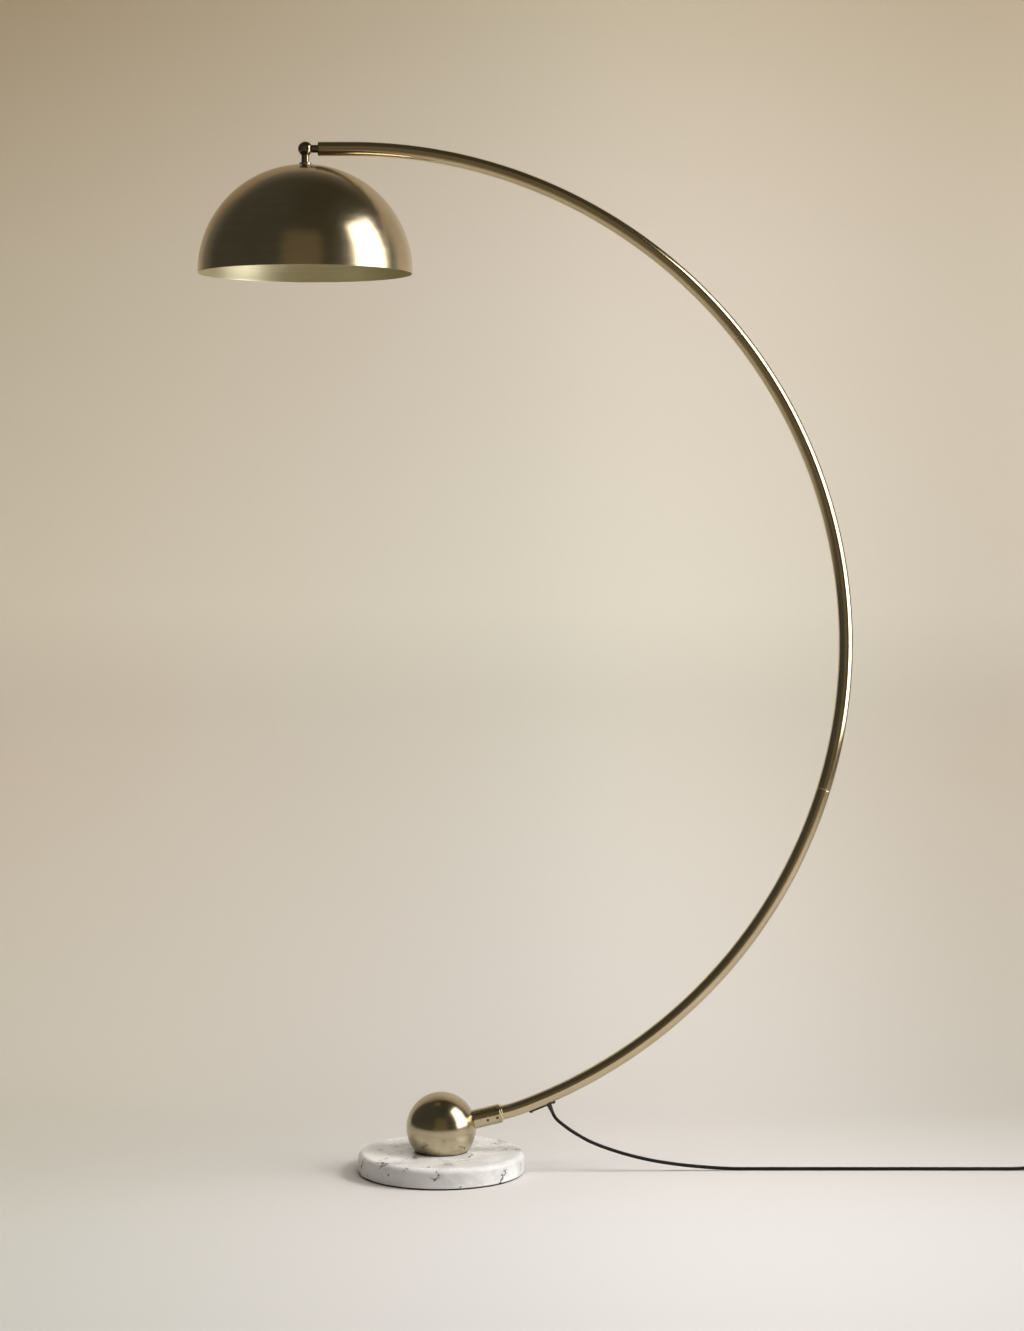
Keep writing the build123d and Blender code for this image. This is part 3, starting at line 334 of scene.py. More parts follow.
SWIVEL_METAL = polished(
    "swivel metal", (0.22, 0.18, 0.13), (0.30, 0.25, 0.18), rough=0.11, grain=1800.0, strength=0.06,
)
ZINC = grained(
    "zinc plate", (0.50, 0.50, 0.49), (0.66, 0.66, 0.64), rough=0.32, grain=1400.0, strength=0.2,
    metallic=1.0,
)
DARK_STEEL = grained(
    "dark steel", (0.14, 0.125, 0.10), (0.24, 0.215, 0.175), rough=0.35, grain=1500.0, strength=0.2,
    metallic=1.0,
)
NICKEL = grained(
    "nickel", (0.62, 0.61, 0.58), (0.74, 0.73, 0.70), rough=0.18, grain=1500.0, strength=0.1,
    metallic=1.0,
)
ALUMINIUM = grained(
    "aluminium", (0.66, 0.66, 0.66), (0.78, 0.78, 0.78), rough=0.28, grain=1500.0, strength=0.2,
    metallic=1.0,
)
RUBBER = grained(
    "rubber", (0.012, 0.012, 0.012), (0.028, 0.027, 0.026), rough=0.6, grain=1300.0, strength=0.35,
)
BLACK_PLASTIC = grained(
    "black plastic", (0.014, 0.014, 0.015), (0.026, 0.026, 0.027), rough=0.42, grain=1700.0,
    strength=0.45, depth=0.08 * MM,
)
BUTTON_PLASTIC = grained(
    "button plastic", (0.030, 0.030, 0.031), (0.045, 0.045, 0.046), rough=0.3, grain=1700.0,
    strength=0.2,
)
HOLDER_PLASTIC = grained(
    "holder plastic", (0.018, 0.018, 0.018), (0.03, 0.03, 0.03), rough=0.35, grain=1500.0,
    strength=0.2,
)
CORD_SHEATH = grained(
    "cord sheath", (0.004, 0.004, 0.004), (0.009, 0.009, 0.0085), rough=0.5, grain=1100.0,
    strength=0.25, cloud=30.0, Specular_IOR_Level=0.25,
)
LEAD_SHEATH = grained(
    "lead sheath", (0.62, 0.59, 0.53), (0.74, 0.71, 0.65), rough=0.45, grain=1200.0, strength=0.2,
)
FIBRE = grained(
    "fibre", (0.05, 0.035, 0.025), (0.11, 0.08, 0.055), rough=0.7, grain=1900.0, strength=0.5,
)
CAP_GLASS = grained(
    "cap glass", (0.012, 0.012, 0.016), (0.025, 0.025, 0.03), rough=0.12, grain=900.0, strength=0.1,
)
OPAL = grained(
    "opal glass", (0.78, 0.77, 0.73), (0.86, 0.85, 0.81), rough=0.28, grain=1200.0, strength=0.08,
    cloud=18.0, Subsurface_Weight=0.25, Subsurface_Scale=0.004,
)
MARBLE = white_marble()
STRAP = woven_strap()


# Shape helpers

def unit(vector):
    """The vector, or each vector of an array, made one long."""
    vector = np.asarray(vector, float)
    return vector / np.linalg.norm(vector, axis=-1, keepdims=True)


SHARP_ANGLE = math.radians(38)


def skin(name, rings, grain, materials, closed, regions=None):
    """A mesh over a grid: rings[k, m] is the point at step k of the profile and step m of the way round.
    Next neighbours make four-sided faces, and the way round always closes. A closed profile joins its last
    ring to its first. An open one starts and ends in a pole, a ring whose points are one, with three-sided
    faces. The faces are turned outwards by the sign of the volume. regions gives the material of each step
    of the profile."""
    steps, turns = rings.shape[:2]
    index = np.arange(steps * turns).reshape(steps, turns)
    if not closed:
        index[0, :] = index[0, 0]
        index[-1, :] = index[-1, 0]
    lower = index if closed else index[:-1]
    upper = np.roll(index, -1, axis=0) if closed else index[1:]
    quads = np.stack([lower, np.roll(lower, -1, axis=1), np.roll(upper, -1, axis=1), upper], axis=-1)
    used, inverse = np.unique(quads, return_inverse=True)
    quads = inverse.reshape(-1, 4)
    points = rings.reshape(-1, 3)[used]
    shifted = points - points.mean(axis=0)
    corners = shifted[quads]
    volume = sum(
        np.einsum("ij,ij->i", corners[:, 0], np.cross(corners[:, a], corners[:, b])).sum()
        for a, b in ((1, 2), (2, 3))
    )
    if volume < 0:
        quads = quads[:, ::-1]
    faces = [tuple(dict.fromkeys(face)) for face in quads.tolist()]
    mesh = bpy.data.meshes.new(name)
    mesh.from_pydata(points.tolist(), [], faces)
    store = mesh.attributes.new("grain", "FLOAT_VECTOR", "POINT")
    store.data.foreach_set("vector", grain.reshape(-1, 3)[used].astype(np.float32).ravel())
    for made in materials:
        mesh.materials.append(made)
    if regions is not None:
        rows = np.repeat(np.asarray(regions)[: quads.shape[0] // turns], turns)
        mesh.polygons.foreach_set("material_index", rows.astype(np.int32))
    mesh.shade_smooth()
    mesh.set_sharp_from_angle(angle=SHARP_ANGLE)
    mesh.update()
    piece = bpy.data.objects.new(name, mesh)
    bpy.context.collection.objects.link(piece)
    return piece


def rounded(corners, steps=5, closed=False):
    """A profile through (radius, height, rounding) corners. A rounded corner becomes an arc that touches
    both of its sides, rounding / tan(half the angle between them) from the corner, with one more point past
    each end of the arc, so that the flat beside it stays flat."""
    count = len(corners)
    place = [np.array(c[:2], float) for c in corners]
    out = []
    for i, (radius, height, rounding) in enumerate(corners):
        if rounding == 0 or (not closed and i in (0, count - 1)):
            out.append(place[i][None])
            continue
        to_last, to_next = place[i - 1] - place[i], place[(i + 1) % count] - place[i]
        one, two = unit(to_last), unit(to_next)
        half = math.acos(np.clip(one @ two, -1, 1)) / 2
        reach = rounding / math.tan(half)
        centre = place[i] + unit(one + two) * rounding / math.sin(half)
        first, last = place[i] + one * reach - centre, place[i] + two * reach - centre
        sweep = math.pi - 2 * half
        t = np.linspace(0, 1, steps + 1)[:, None]
        arc = centre + (np.sin((1 - t) * sweep) * first + np.sin(t * sweep) * last) / math.sin(sweep)
        extra = 0.3 * reach
        out += [(place[i] + one * (reach + extra))[None], arc, (place[i] + two * (reach + extra))[None]]
    return np.concatenate(out)


def run_lengths(profile):
    """Distance along a profile from its first point to each of its points."""
    return np.concatenate([[0.0], np.cumsum(np.linalg.norm(np.diff(profile, axis=0), axis=1))])


def turned(name, profile, base, materials, axis=(0, 0, 1), turns=96, closed=False, regions=None):
    """Lathe work: the point for profile step k and angle t is base + height k * axis + radius k *
    (cos t * side + sin t * across), where side and across are square to the axis."""
    axis = unit(axis)
    side = unit(np.cross(axis, (0, 1, 0)) if abs(axis[1]) < 0.9 else np.cross(axis, (0, 0, 1)))
    across = np.cross(axis, side)
    t = np.arange(turns) * 2 * math.pi / turns
    spokes = np.cos(t)[:, None] * side + np.sin(t)[:, None] * across
    rings = np.asarray(base) + profile[:, 1, None, None] * axis + profile[:, 0, None, None] * spokes
    along = np.broadcast_to(run_lengths(profile)[:, None], rings.shape[:2])
    flat = np.broadcast_to(np.stack([np.cos(t), np.sin(t)], axis=-1), (*rings.shape[:2], 2))
    return skin(name, rings, np.concatenate([flat, along[..., None]], axis=-1), materials, closed, regions)


def place_piece(piece, body, slot, *replaced):
    """Rides the piece on its body and hides the CAD nodes that it stands for; slot, the name of its finish,
    is not used.
    """
    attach(piece, body)
    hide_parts(*replaced)


def corner_heights(name):
    """Lowest and highest height of a CAD node."""
    low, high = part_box(name)
    return low[2], high[2]


# Cords: smooth splines whose points are the route's own

def spline_cord(name, points, radius):
    """A round cord on one open spline of order 3 that starts and ends at its first and last points."""
    curve = bpy.data.curves.new(name, "CURVE")
    curve.dimensions = "3D"
    curve.bevel_depth = radius
    curve.bevel_resolution = 7
    curve.resolution_u = 12
    curve.use_fill_caps = True
    spline = curve.splines.new("NURBS")
    spline.points.add(len(points) - 1)
    spline.points.foreach_set("co", np.column_stack([points, np.ones(len(points))]).ravel())
    spline.order_u = 3
    spline.use_endpoint_u = True
    curve.materials.append(CORD_SHEATH)
    cord = bpy.data.objects.new(name, curve)
    bpy.context.collection.objects.link(cord)
    return cord


CORD_RADIUS = 3.0 * MM
lamp_cord = spline_cord(
    "lamp_cord_line",
    np.array([
        (193.605, 0, 105.82), (196.947, 0, 98.004), (202.1, 0, 91.1), (212.3, 0, 82.7),
        (230.5, 0.1, 69.2), (263, 0.4, 50.6), (307, 1.2, 34.6), (356, 3, 21.2), (405, 5.6, 12.4),
        (455, 8.2, 6.6), (505, 10.2, 3), (557, 10.2, 3), (967, 9.8, 3), (1019, 9.8, 3), (1038, 10, 8),
        (1047, 10, 8),
    ]) * MM,
    CORD_RADIUS,
)

# The coil, in mm
COIL_CENTRE = (1187.0, 49.0)
OUTER_LANE, LANE_PITCH = 39.0, 6.0
FLOOR_LEVEL, TOP_LEVEL, HUMP = 3.8, 9.0, 0.9


def eased(value, low, high):
    """0 below low, 1 above high, and 3 t^2 - 2 t^3 between them."""
    t = np.clip((value - low) / (high - low), 0, 1)
    return t * t * (3 - 2 * t)


def coil_turns():
    """Four and a half turns, three on the floor and the rest on top, as cord radii and heights over the
    angle. Each turn keeps its lane for most of the way and steps to the next one near its end: the floor
    lanes step inwards by a diameter, the third climbs to the groove above, and the fourth steps outwards
    and lifts a little where the one below it climbs. Points stand 1 / cos(half a step) out, so the spline
    keeps the lane's radius."""
    per_turn = 16
    step = np.arange(4 * per_turn + per_turn // 2 + 1)
    turn, local = step // per_turn, (step % per_turn) * 360 / per_turn
    shift, climb, widen = eased(local, 265, 350), eased(local, 205, 300), eased(local, 180, 262)
    lift = widen * (1 - eased(local, 330, 360))
    inner_lane, groove, last_lane = (OUTER_LANE - n * LANE_PITCH for n in (2, 1.5, 0.5))
    radius = np.select([turn < 2, turn == 2, turn == 3], [
        OUTER_LANE - LANE_PITCH * turn - LANE_PITCH * shift,
        inner_lane + (groove - inner_lane) * climb,
        groove + (last_lane - groove) * widen,
    ], last_lane)
    risen = (TOP_LEVEL - FLOOR_LEVEL) * (1 - (1 - climb) ** 2)
    height = np.select([turn < 2, turn == 2], [
        FLOOR_LEVEL,
        FLOOR_LEVEL + risen + HUMP * shift * (1 - eased(local, 340, 360)),
    ], TOP_LEVEL + HUMP * lift * (turn == 3))
    angle = np.radians(local - 90)
    radius = radius / math.cos(math.pi / per_turn)
    return np.column_stack([
        COIL_CENTRE[0] + radius * np.cos(angle), COIL_CENTRE[1] + radius * np.sin(angle), height,
    ])


plug_cord = spline_cord(
    "plug_cord_line",
    np.concatenate([
        [(1153, 10, 8), (1161.5, 10, 8), (1174, 10, 4.6)],
        coil_turns(),
        [(1176, 85.3, 10.2), (1161, 86.9, 9.6), (1146, 88, 7), (1132, 88, 7)],
    ]) * MM,
    CORD_RADIUS,
)


# Base, pad and ball

pad_low, pad_high = corner_heights("foot_pad")
pad_radius, pad_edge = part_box("foot_pad")[1][0], 0.5 * MM
foot_pad = turned(
    "foot_pad_disc",
    rounded([
        (0, pad_low, 0), (pad_radius, pad_low, pad_edge), (pad_radius, pad_high, pad_edge),
        (0, pad_high, 0),
    ], 3),
    (0, 0, 0), [RUBBER], turns=192,
)
place_piece(foot_pad, "stand", "black_rubber", "foot_pad")

stone_low, stone_high = corner_heights("marble_base")
stone_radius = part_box("marble_base")[1][0]
recess_radius, recess_top, bolt_hole = 23 * MM, stone_low + 18 * MM, 6.3 * MM
top_round, bottom_round, recess_round = 10 * MM, 2 * MM, 0.5 * MM
marble_disc = turned(
    "marble_disc",
    rounded([
        (bolt_hole, stone_high, 0), (stone_radius, stone_high, top_round),
        (stone_radius, stone_low, bottom_round), (recess_radius, stone_low, recess_round),
        (recess_radius, recess_top, recess_round), (bolt_hole, recess_top, 0),
    ], 10),
    (0, 0, 0), [MARBLE], turns=192, closed=True,
)
place_piece(marble_disc, "stand", "marble", "marble_base")

ball_low, ball_high = corner_heights("ball")
ball_radius = -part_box("ball")[0][0]
ball_centre = np.array((0, 0, ball_high - ball_radius))
flat_drop = ball_centre[2] - ball_low
flat_angle = math.acos(flat_drop / ball_radius)
t = np.linspace(flat_angle, math.pi, 120)
ball_curve = np.column_stack([ball_radius * np.sin(t), -ball_radius * np.cos(t)])
foot_edge = ball_radius * math.sin(flat_angle)
ball_flat = np.array([
    (0, -flat_drop), (foot_edge - 1.6 * MM, -flat_drop),
    (foot_edge - 0.5 * MM, -flat_drop + 0.02 * MM), (foot_edge - 0.15 * MM, -flat_drop + 0.12 * MM),
])
ball_profile = np.concatenate([ball_flat, ball_curve[1:]])
ball_profile[-1, 0] = 0
ball_skin = turned("brass_ball", ball_profile, ball_centre, [BALL_BRASS], turns=192)
place_piece(ball_skin, "stand", "antique_brass", "ball")


# Arm: the centre line in closed form, and its three pipes

SLEEVE_TILT = math.radians(13.5)
SLEEVE_RADIUS, TUBE_INSET, STRAIGHT_END = 16.5 * MM, 3 * MM, 111 * MM
TUBE_START = math.sqrt(ball_radius**2 - SLEEVE_RADIUS**2) + TUBE_INSET
BLEND_RADIUS, BLEND_TURN = 298 * MM, math.radians(6.65)
ARM_RADIUS, ARM_END = 864.5 * MM, 57.4 * MM
LOWER_TURN, MIDDLE_TURN = math.radians(52.6), math.radians(55.6)
TUBE_RADIUS, TUBE_BORE = 12.5 * MM, 11.0 * MM
STEP_DEPTH, STEP_RUN, BROKEN_EDGE = 0.4 * MM, 0.5 * MM, 0.15 * MM
first_run = STRAIGHT_END - TUBE_START
blend_run = BLEND_RADIUS * BLEND_TURN
bend_start = SLEEVE_TILT + BLEND_TURN
bend_run = ARM_RADIUS * (math.pi - bend_start)
SEAM_LOW = first_run + blend_run + ARM_RADIUS * LOWER_TURN
SEAM_HIGH = SEAM_LOW + ARM_RADIUS * MIDDLE_TURN
ARM_LENGTH = first_run + blend_run + bend_run + ARM_END


def along(turn):
    """Heading of the arm where it has turned this far from level."""
    return np.stack([np.cos(turn), 0 * turn, np.sin(turn)], axis=-1)


def outward(turn):
    """Direction away from the bend's centre where the arm has turned this far from level."""
    return np.stack([np.sin(turn), 0 * turn, -np.cos(turn)], axis=-1)


def arm_line(distance):
    """Centre points and outward directions of the arm at these distances from its lower end. The heading
    turns by distance / radius in each bend, and a bend moves the point by radius * (outward now - outward
    at its start)."""
    distance = np.asarray(distance, float)
    in_blend = np.clip(distance - first_run, 0, blend_run) / BLEND_RADIUS
    in_bend = np.clip(distance - first_run - blend_run, 0, bend_run) / ARM_RADIUS
    tilt = np.full_like(distance, SLEEVE_TILT)
    turn = tilt + in_blend + in_bend
    ended = np.maximum(distance - first_run - blend_run - bend_run, 0)
    point = (
        ball_centre + along(tilt) * TUBE_START + along(tilt) * np.minimum(distance, first_run)[..., None]
        + BLEND_RADIUS * (outward(tilt + in_blend) - outward(tilt))
        + ARM_RADIUS * (outward(turn) - outward(tilt + in_blend))
        + along(np.full_like(distance, math.pi)) * ended[..., None]
    )
    return point, outward(turn)


def arm_pipe(name, first, last, stepped_first, stepped_last):
    """One pipe of the arm: rings round the centre line, as rows of (distance, radius), that go out along
    the outside and back along the bore. A stepped end is turned down a little, which leaves a fine groove
    at the seam, and each outer edge is broken."""
    def end(stepped):
        down = TUBE_RADIUS - (STEP_DEPTH if stepped else 0)
        rows = [(0, TUBE_BORE), (0, down - BROKEN_EDGE), (BROKEN_EDGE, down)]
        if stepped:
            rows += [(STEP_RUN, down), (0.55 * MM, TUBE_RADIUS - 0.1 * MM), (0.7 * MM, TUBE_RADIUS)]
        return np.array(rows + [(1.6 * MM, TUBE_RADIUS)])
    near, far = end(stepped_first), end(stepped_last)
    near[:, 0] += first
    far[:, 0] = last - far[:, 0]
    ring_spacing, turns = 6 * MM, 64
    count = int((last - first) / ring_spacing)

    def wall(start, stop, radius):
        return np.column_stack([np.linspace(start, stop, count)[1:-1], np.full(count - 2, radius)])
    rows = np.concatenate([
        near, wall(near[-1, 0], far[-1, 0], TUBE_RADIUS), far[::-1], wall(last, first, TUBE_BORE),
    ])
    centre, out = arm_line(rows[:, 0])
    t = np.arange(turns) * 2 * math.pi / turns
    side = np.array((0, 1.0, 0))
    spokes = np.cos(t)[None, :, None] * out[:, None, :] + np.sin(t)[None, :, None] * side
    rings = centre[:, None, :] + rows[:, 1, None, None] * spokes
    grain = np.stack(np.broadcast_arrays(np.cos(t)[None], np.sin(t)[None], rows[:, :1]), axis=-1)
    return skin(name, rings, grain, [TUBE_BRASS], True)


for name, first, last, stepped_first, stepped_last in (
    ("arm_lower", 0, SEAM_LOW, False, True),
    ("arm_middle", SEAM_LOW, SEAM_HIGH, True, True),
    ("arm_upper", SEAM_HIGH, ARM_LENGTH, True, False),
):
    pipe = arm_pipe(name + "_pipe", first, last, stepped_first, stepped_last)
    place_piece(pipe, "stand", "antique_brass", name)

ring_low, ring_high, ring_radius, ring_bore = 107 * MM, 110.5 * MM, 14.2 * MM, TUBE_RADIUS + 0.05 * MM
ferrule = turned(
    "sleeve_ring",
    rounded([
        (ring_bore, ring_low, 0), (ring_radius, ring_low, 0.25 * MM),
        (ring_radius, ring_high, 0.8 * MM), (ring_bore, ring_high, 0),
    ], 4),
    ball_centre, [BARE_BRASS], axis=along(np.array(SLEEVE_TILT)), turns=96, closed=True,
)
place_piece(ferrule, "stand", "bare_brass", "sleeve_ferrule")


# Strain relief under the arm

exit_turn = math.radians(23.15)
exit_distance = first_run + blend_run + ARM_RADIUS * (exit_turn - bend_start)
exit_centre, exit_out = (value[0] for value in arm_line(np.array([exit_distance])))
relief_inner, relief_root, relief_tip = 6 * MM, 14.75 * MM, 26.75 * MM
neck_radius, collar_radius, collar_top = 3.7 * MM, 4.3 * MM, relief_root + 1.2 * MM
rib = np.linspace(relief_root + 1.6 * MM, relief_tip - 0.8 * MM, 60)
share = (rib - rib[0]) / (rib[-1] - rib[0])
# A cone from 4.2 to 3.45 mm with narrow grooves, five in all
groove = 0.3 * MM * (0.5 + 0.5 * np.cos(share * 2 * math.pi * 4)) ** 3
ribbed = 4.2 * MM - 0.75 * MM * share - groove
relief_profile = np.concatenate([
    [(0, relief_inner), (neck_radius, relief_inner), (neck_radius, relief_root)],
    [(collar_radius, relief_root), (collar_radius, collar_top)],
    np.column_stack([ribbed, rib]),
    [(3.3 * MM, relief_tip - 0.2 * MM), (3.05 * MM, relief_tip), (0, relief_tip)],
])
relief = turned("arm_cord_relief", relief_profile, exit_centre, [RUBBER], axis=exit_out, turns=64)
place_piece(relief, "stand", "black_rubber", "strain_relief")


# Shade: the dome, one shell with a paler lining, then the holder's cup and the bulb

dome_low = corner_heights("shade_dome")[0]
dome_left, dome_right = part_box("shade_dome")[0][0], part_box("shade_dome")[1][0]
dome_radius = (dome_right - dome_left) / 2
pivot_x = (dome_right + dome_left) / 2
DOME_WALL, DOME_SKIRT, STEM_HOLE = 1.0 * MM, 3.3 * MM, 6.05 * MM
dome_level = dome_low + DOME_SKIRT


def dome_arc(radius, count):
    """Quarter circle from the stem's hole down to the level of the dome's centre."""
    t = np.linspace(math.asin(STEM_HOLE / radius), math.pi / 2, count)
    return np.column_stack([radius * np.sin(t), radius * np.cos(t)])


lip = 0.42 * MM
t = np.linspace(0, math.pi, 9)
lip_middle = dome_radius - DOME_WALL / 2
rim = np.column_stack([lip_middle + DOME_WALL / 2 * np.cos(t), -DOME_SKIRT + lip - lip * np.sin(t)])
outside, inside = dome_arc(dome_radius, 130), dome_arc(dome_radius - DOME_WALL, 110)[::-1]
dome_profile = np.concatenate([outside, rim, inside])
# The lining starts past the middle of the rim and ends at the stem's hole, whose edge is brass
dome_regions = (np.arange(len(dome_profile)) > len(outside) + len(rim) // 2).astype(int)
dome_regions[-1] = 0
dome = turned(
    "shade_shell", dome_profile, (pivot_x, 0, dome_level), [DOME_BRASS, DOME_LINING],
    turns=256, closed=True, regions=dome_regions,
)
place_piece(dome, "shade", "antique_brass", "shade_dome")

cup_low, cup_high = corner_heights("holder_cup")
cup_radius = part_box("holder_cup")[1][0] - pivot_x
cup_wall, cup_lip = 0.8 * MM, 0.35 * MM
cup_bore, cup_ceiling = cup_radius - cup_wall, cup_high - cup_wall
cup = turned(
    "holder_cup_shell",
    rounded([
        (STEM_HOLE, cup_high, 0), (cup_radius, cup_high, 5 * MM), (cup_radius, cup_low, cup_lip),
        (cup_bore, cup_low, cup_lip), (cup_bore, cup_ceiling, 4.2 * MM), (STEM_HOLE, cup_ceiling, 0),
    ], 8),
    (pivot_x, 0, 0), [FITTING_BRASS], turns=128, closed=True,
)
place_piece(cup, "shade", "antique_brass", "holder_cup")

bulb_low, bulb_top = corner_heights("bulb_glass")
bulb_radius, globe_turn, neck_radius = 30 * MM, 112, 14.5 * MM
t = np.radians(np.linspace(0, globe_turn, 70))
globe = np.column_stack([bulb_radius * np.sin(t), bulb_low + bulb_radius - bulb_radius * np.cos(t)])
u = np.linspace(0, 1, 24)[1:, None]
# The neck is a cubic curve that leaves the globe along its surface and arrives upright
start, stop = globe[-1], np.array((neck_radius, bulb_top - 1.5 * MM))
pull = 0.5 * (stop[1] - start[1])
leave = start + pull * np.array((math.cos(t[-1]), math.sin(t[-1])))
arrive = stop - np.array((0, pull))
neck = (1 - u) ** 3 * start + 3 * u * (1 - u) ** 2 * leave + 3 * u * u * (1 - u) * arrive + u**3 * stop
bulb_edge = [(14.2 * MM, bulb_top - 0.2 * MM), (13.2 * MM, bulb_top), (0, bulb_top)]
bulb_profile = np.concatenate([globe, neck, bulb_edge])
bulb_profile[0, 0] = 0
bulb = turned("bulb_globe", bulb_profile, (pivot_x, 0, 0), [OPAL], turns=128)
place_piece(bulb, "shade", "opal_glass", "bulb_glass")


# Switch button, plug pins and the coil's strap

button_low, button_top = corner_heights("switch_button")
switch_low, switch_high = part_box("switch_button")
switch_x, switch_y = (switch_low[0] + switch_high[0]) / 2, (switch_low[1] + switch_high[1]) / 2
flange_radius, button_radius = (switch_high[0] - switch_low[0]) / 2, 10 * MM
flange_top, dish_radius = button_low + 2 * MM, button_radius - 1.7 * MM
# The top is a shallow dish with round grooves 1.6 mm apart, but none at its middle
dish = np.linspace(dish_radius, 0, 60)
hollow = 0.9 * MM * (1 - (dish / dish_radius) ** 2)
grooves = 0.12 * MM * (0.5 - 0.5 * np.cos(dish / (1.6 * MM) * 2 * math.pi)) * (dish > 1.5 * MM)
button_profile = np.concatenate([
    [(0, button_low), (flange_radius, button_low)],
    [(flange_radius, flange_top), (button_radius, flange_top)],
    rounded([
        (button_radius, flange_top + 0.2 * MM, 0), (button_radius, button_top, 1.2 * MM),
        (dish_radius, button_top, 0),
    ], 6),
    np.column_stack([dish, button_top - hollow - grooves])[1:],
])
button = turned("switch_button_cap", button_profile, (switch_x, switch_y, 0), [BUTTON_PLASTIC], turns=96)
place_piece(button, "switch_button", "button_plastic", "switch_button")

pins_low, pins_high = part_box("plug_pins")
pin_radius = (pins_high[2] - pins_low[2]) / 2
pin_length = pins_high[0] - pins_low[0]
pin_profile = rounded([
    (0, 0, 0), (pin_radius, 0, 0.1 * MM), (pin_radius, pin_length, 1.2 * MM), (0, pin_length, 0),
], 6)
# The half next to the plug's body has a plastic sleeve
sleeve_share = 0.5
split = np.linspace(0.5 * MM, pin_length - 2.2 * MM, 12)
wall = np.column_stack([np.full(len(split), pin_radius), split])
pin_profile = np.concatenate([pin_profile[:9], wall, pin_profile[9:]])
pin_regions = (pin_profile[:, 1] < sleeve_share * pin_length).astype(int)
for label, pin_y in (("front", pins_low[1] + pin_radius), ("back", pins_high[1] - pin_radius)):
    pin = turned(
        "plug_pin_" + label, pin_profile, (pins_high[0], pin_y, pins_low[2] + pin_radius),
        [NICKEL, BLACK_PLASTIC], axis=(-1, 0, 0), turns=32, regions=pin_regions,
    )
    place_piece(pin, "stand", "nickel", "plug_pins")

tie_low, tie_high = (np.array(corner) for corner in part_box("coil_tie"))
STRAP_THICK, STRAP_ROUND = 0.8 * MM, 1.8 * MM
left, right = tie_low[1] + STRAP_THICK / 2, tie_high[1] - STRAP_THICK / 2
bottom, top = tie_low[2] + STRAP_THICK / 2, tie_high[2] - STRAP_THICK / 2
loop = rounded([
    (left, bottom, STRAP_ROUND), (right, bottom, STRAP_ROUND), (right, top, STRAP_ROUND),
    (left, top, STRAP_ROUND),
], 6, closed=True)
heading = unit(np.roll(loop, -1, axis=0) - np.roll(loop, 1, axis=0))
normal = np.column_stack([heading[:, 1], -heading[:, 0]])
# The strap's section is a flat rounded bar: powers of the cosine and the sine
t = np.arange(24) * 2 * math.pi / 24
half_width = (tie_high[0] - tie_low[0]) / 2
across = half_width * np.sign(np.cos(t)) * np.abs(np.cos(t)) ** 0.25
proud = STRAP_THICK / 2 * np.sign(np.sin(t)) * np.abs(np.sin(t)) ** 0.6
tie_middle = (tie_low[0] + tie_high[0]) / 2
strap_rings = np.stack([
    np.broadcast_to(tie_middle + across, (len(loop), len(t))),
    loop[:, 0, None] + normal[:, 0, None] * proud,
    loop[:, 1, None] + normal[:, 1, None] * proud,
], axis=-1)
strap_grain = np.stack(
    np.broadcast_arrays(across[None], proud[None], run_lengths(loop)[:, None]), axis=-1,
)
strap = skin("coil_strap", strap_rings, strap_grain, [STRAP], True)
place_piece(strap, "stand", "tie_fabric", "coil_tie")


# Cords placed on their body, now that the pieces on them exist

place_piece(lamp_cord, "stand", "cord_sheath", "lamp_cord")
place_piece(plug_cord, "stand", "cord_sheath", "plug_cord", "cord_coil", "cord_tail")


# Materials of the CAD nodes that stay

FINISHES = {
    FITTING_BRASS: ("arm_sleeve", "stem_collar"),
    SWIVEL_METAL: ("arm_end_cap", "swivel_back", "swivel_front", "pivot_screw"),
    ZINC: (
        "base_washer", "base_bolt", "spigot_low", "spigot_high", "swivel_washer", "swivel_nut", "shade_nut",
        "holder_nut",
    ),
    DARK_STEEL: ("set_screws", "exit_screws"),
    RUBBER: ("ball_gasket", "switch_reliefs"),
    BLACK_PLASTIC: ("exit_plate", "switch_base", "switch_cover", "plug_body"),
    HOLDER_PLASTIC: ("holder_body", "switch_block"),
    LEAD_SHEATH: ("arm_lead", "stub_lead", "shade_lead"),
    FIBRE: ("friction_ring",),
    BARE_BRASS: ("holder_shell", "holder_contact"),
    ALUMINIUM: ("bulb_cap",),
    CAP_GLASS: ("bulb_insulator",),
}
for finish, names in FINISHES.items():
    for name in names:
        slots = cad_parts[name].data.materials
        slots.clear()
        slots.append(finish)


# Stage: a pale floor, a seamless wall behind the lamp, and soft light

# Painted light and shade at the left, middle and right: two rows on the floor, then rows up the wall, each
# with the heights between which it takes over. The colours darken up the wall and are darker at the right,
# where the lamps shine brightest
FLOOR_NEAR_PAINTED_SHADE = ((0.545, 0.54, 0.495), (0.53, 0.52, 0.53), (0.36, 0.35, 0.355))
FLOOR_FAR_PAINTED_SHADE = ((0.565, 0.535, 0.47), (0.46, 0.44, 0.425), (0.28, 0.265, 0.238))
WALL_ROWS_PAINTED_SHADE = (
    (0.0, 0.6, ((0.60, 0.53, 0.45), (0.49, 0.465, 0.42), (0.305, 0.27, 0.225))),
    (0.6, 0.95, ((0.645, 0.585, 0.49), (0.53, 0.505, 0.44), (0.325, 0.295, 0.25))),
    (0.95, 1.7, ((0.49, 0.43, 0.335), (0.435, 0.39, 0.34), (0.265, 0.235, 0.19))),
    (1.7, 2.3, ((0.33, 0.262, 0.172), (0.325, 0.285, 0.215), (0.215, 0.178, 0.128))),
)
# Painted shade beside the softbox, and the colour of the painted dark reflection of the floor in front of
# the lamp
SHADE_PAINTED_BY_SOFTBOX, PAINTED_DARK_REFLECTION = (0.15, 0.14, 0.13), (0.40, 0.35, 0.27)


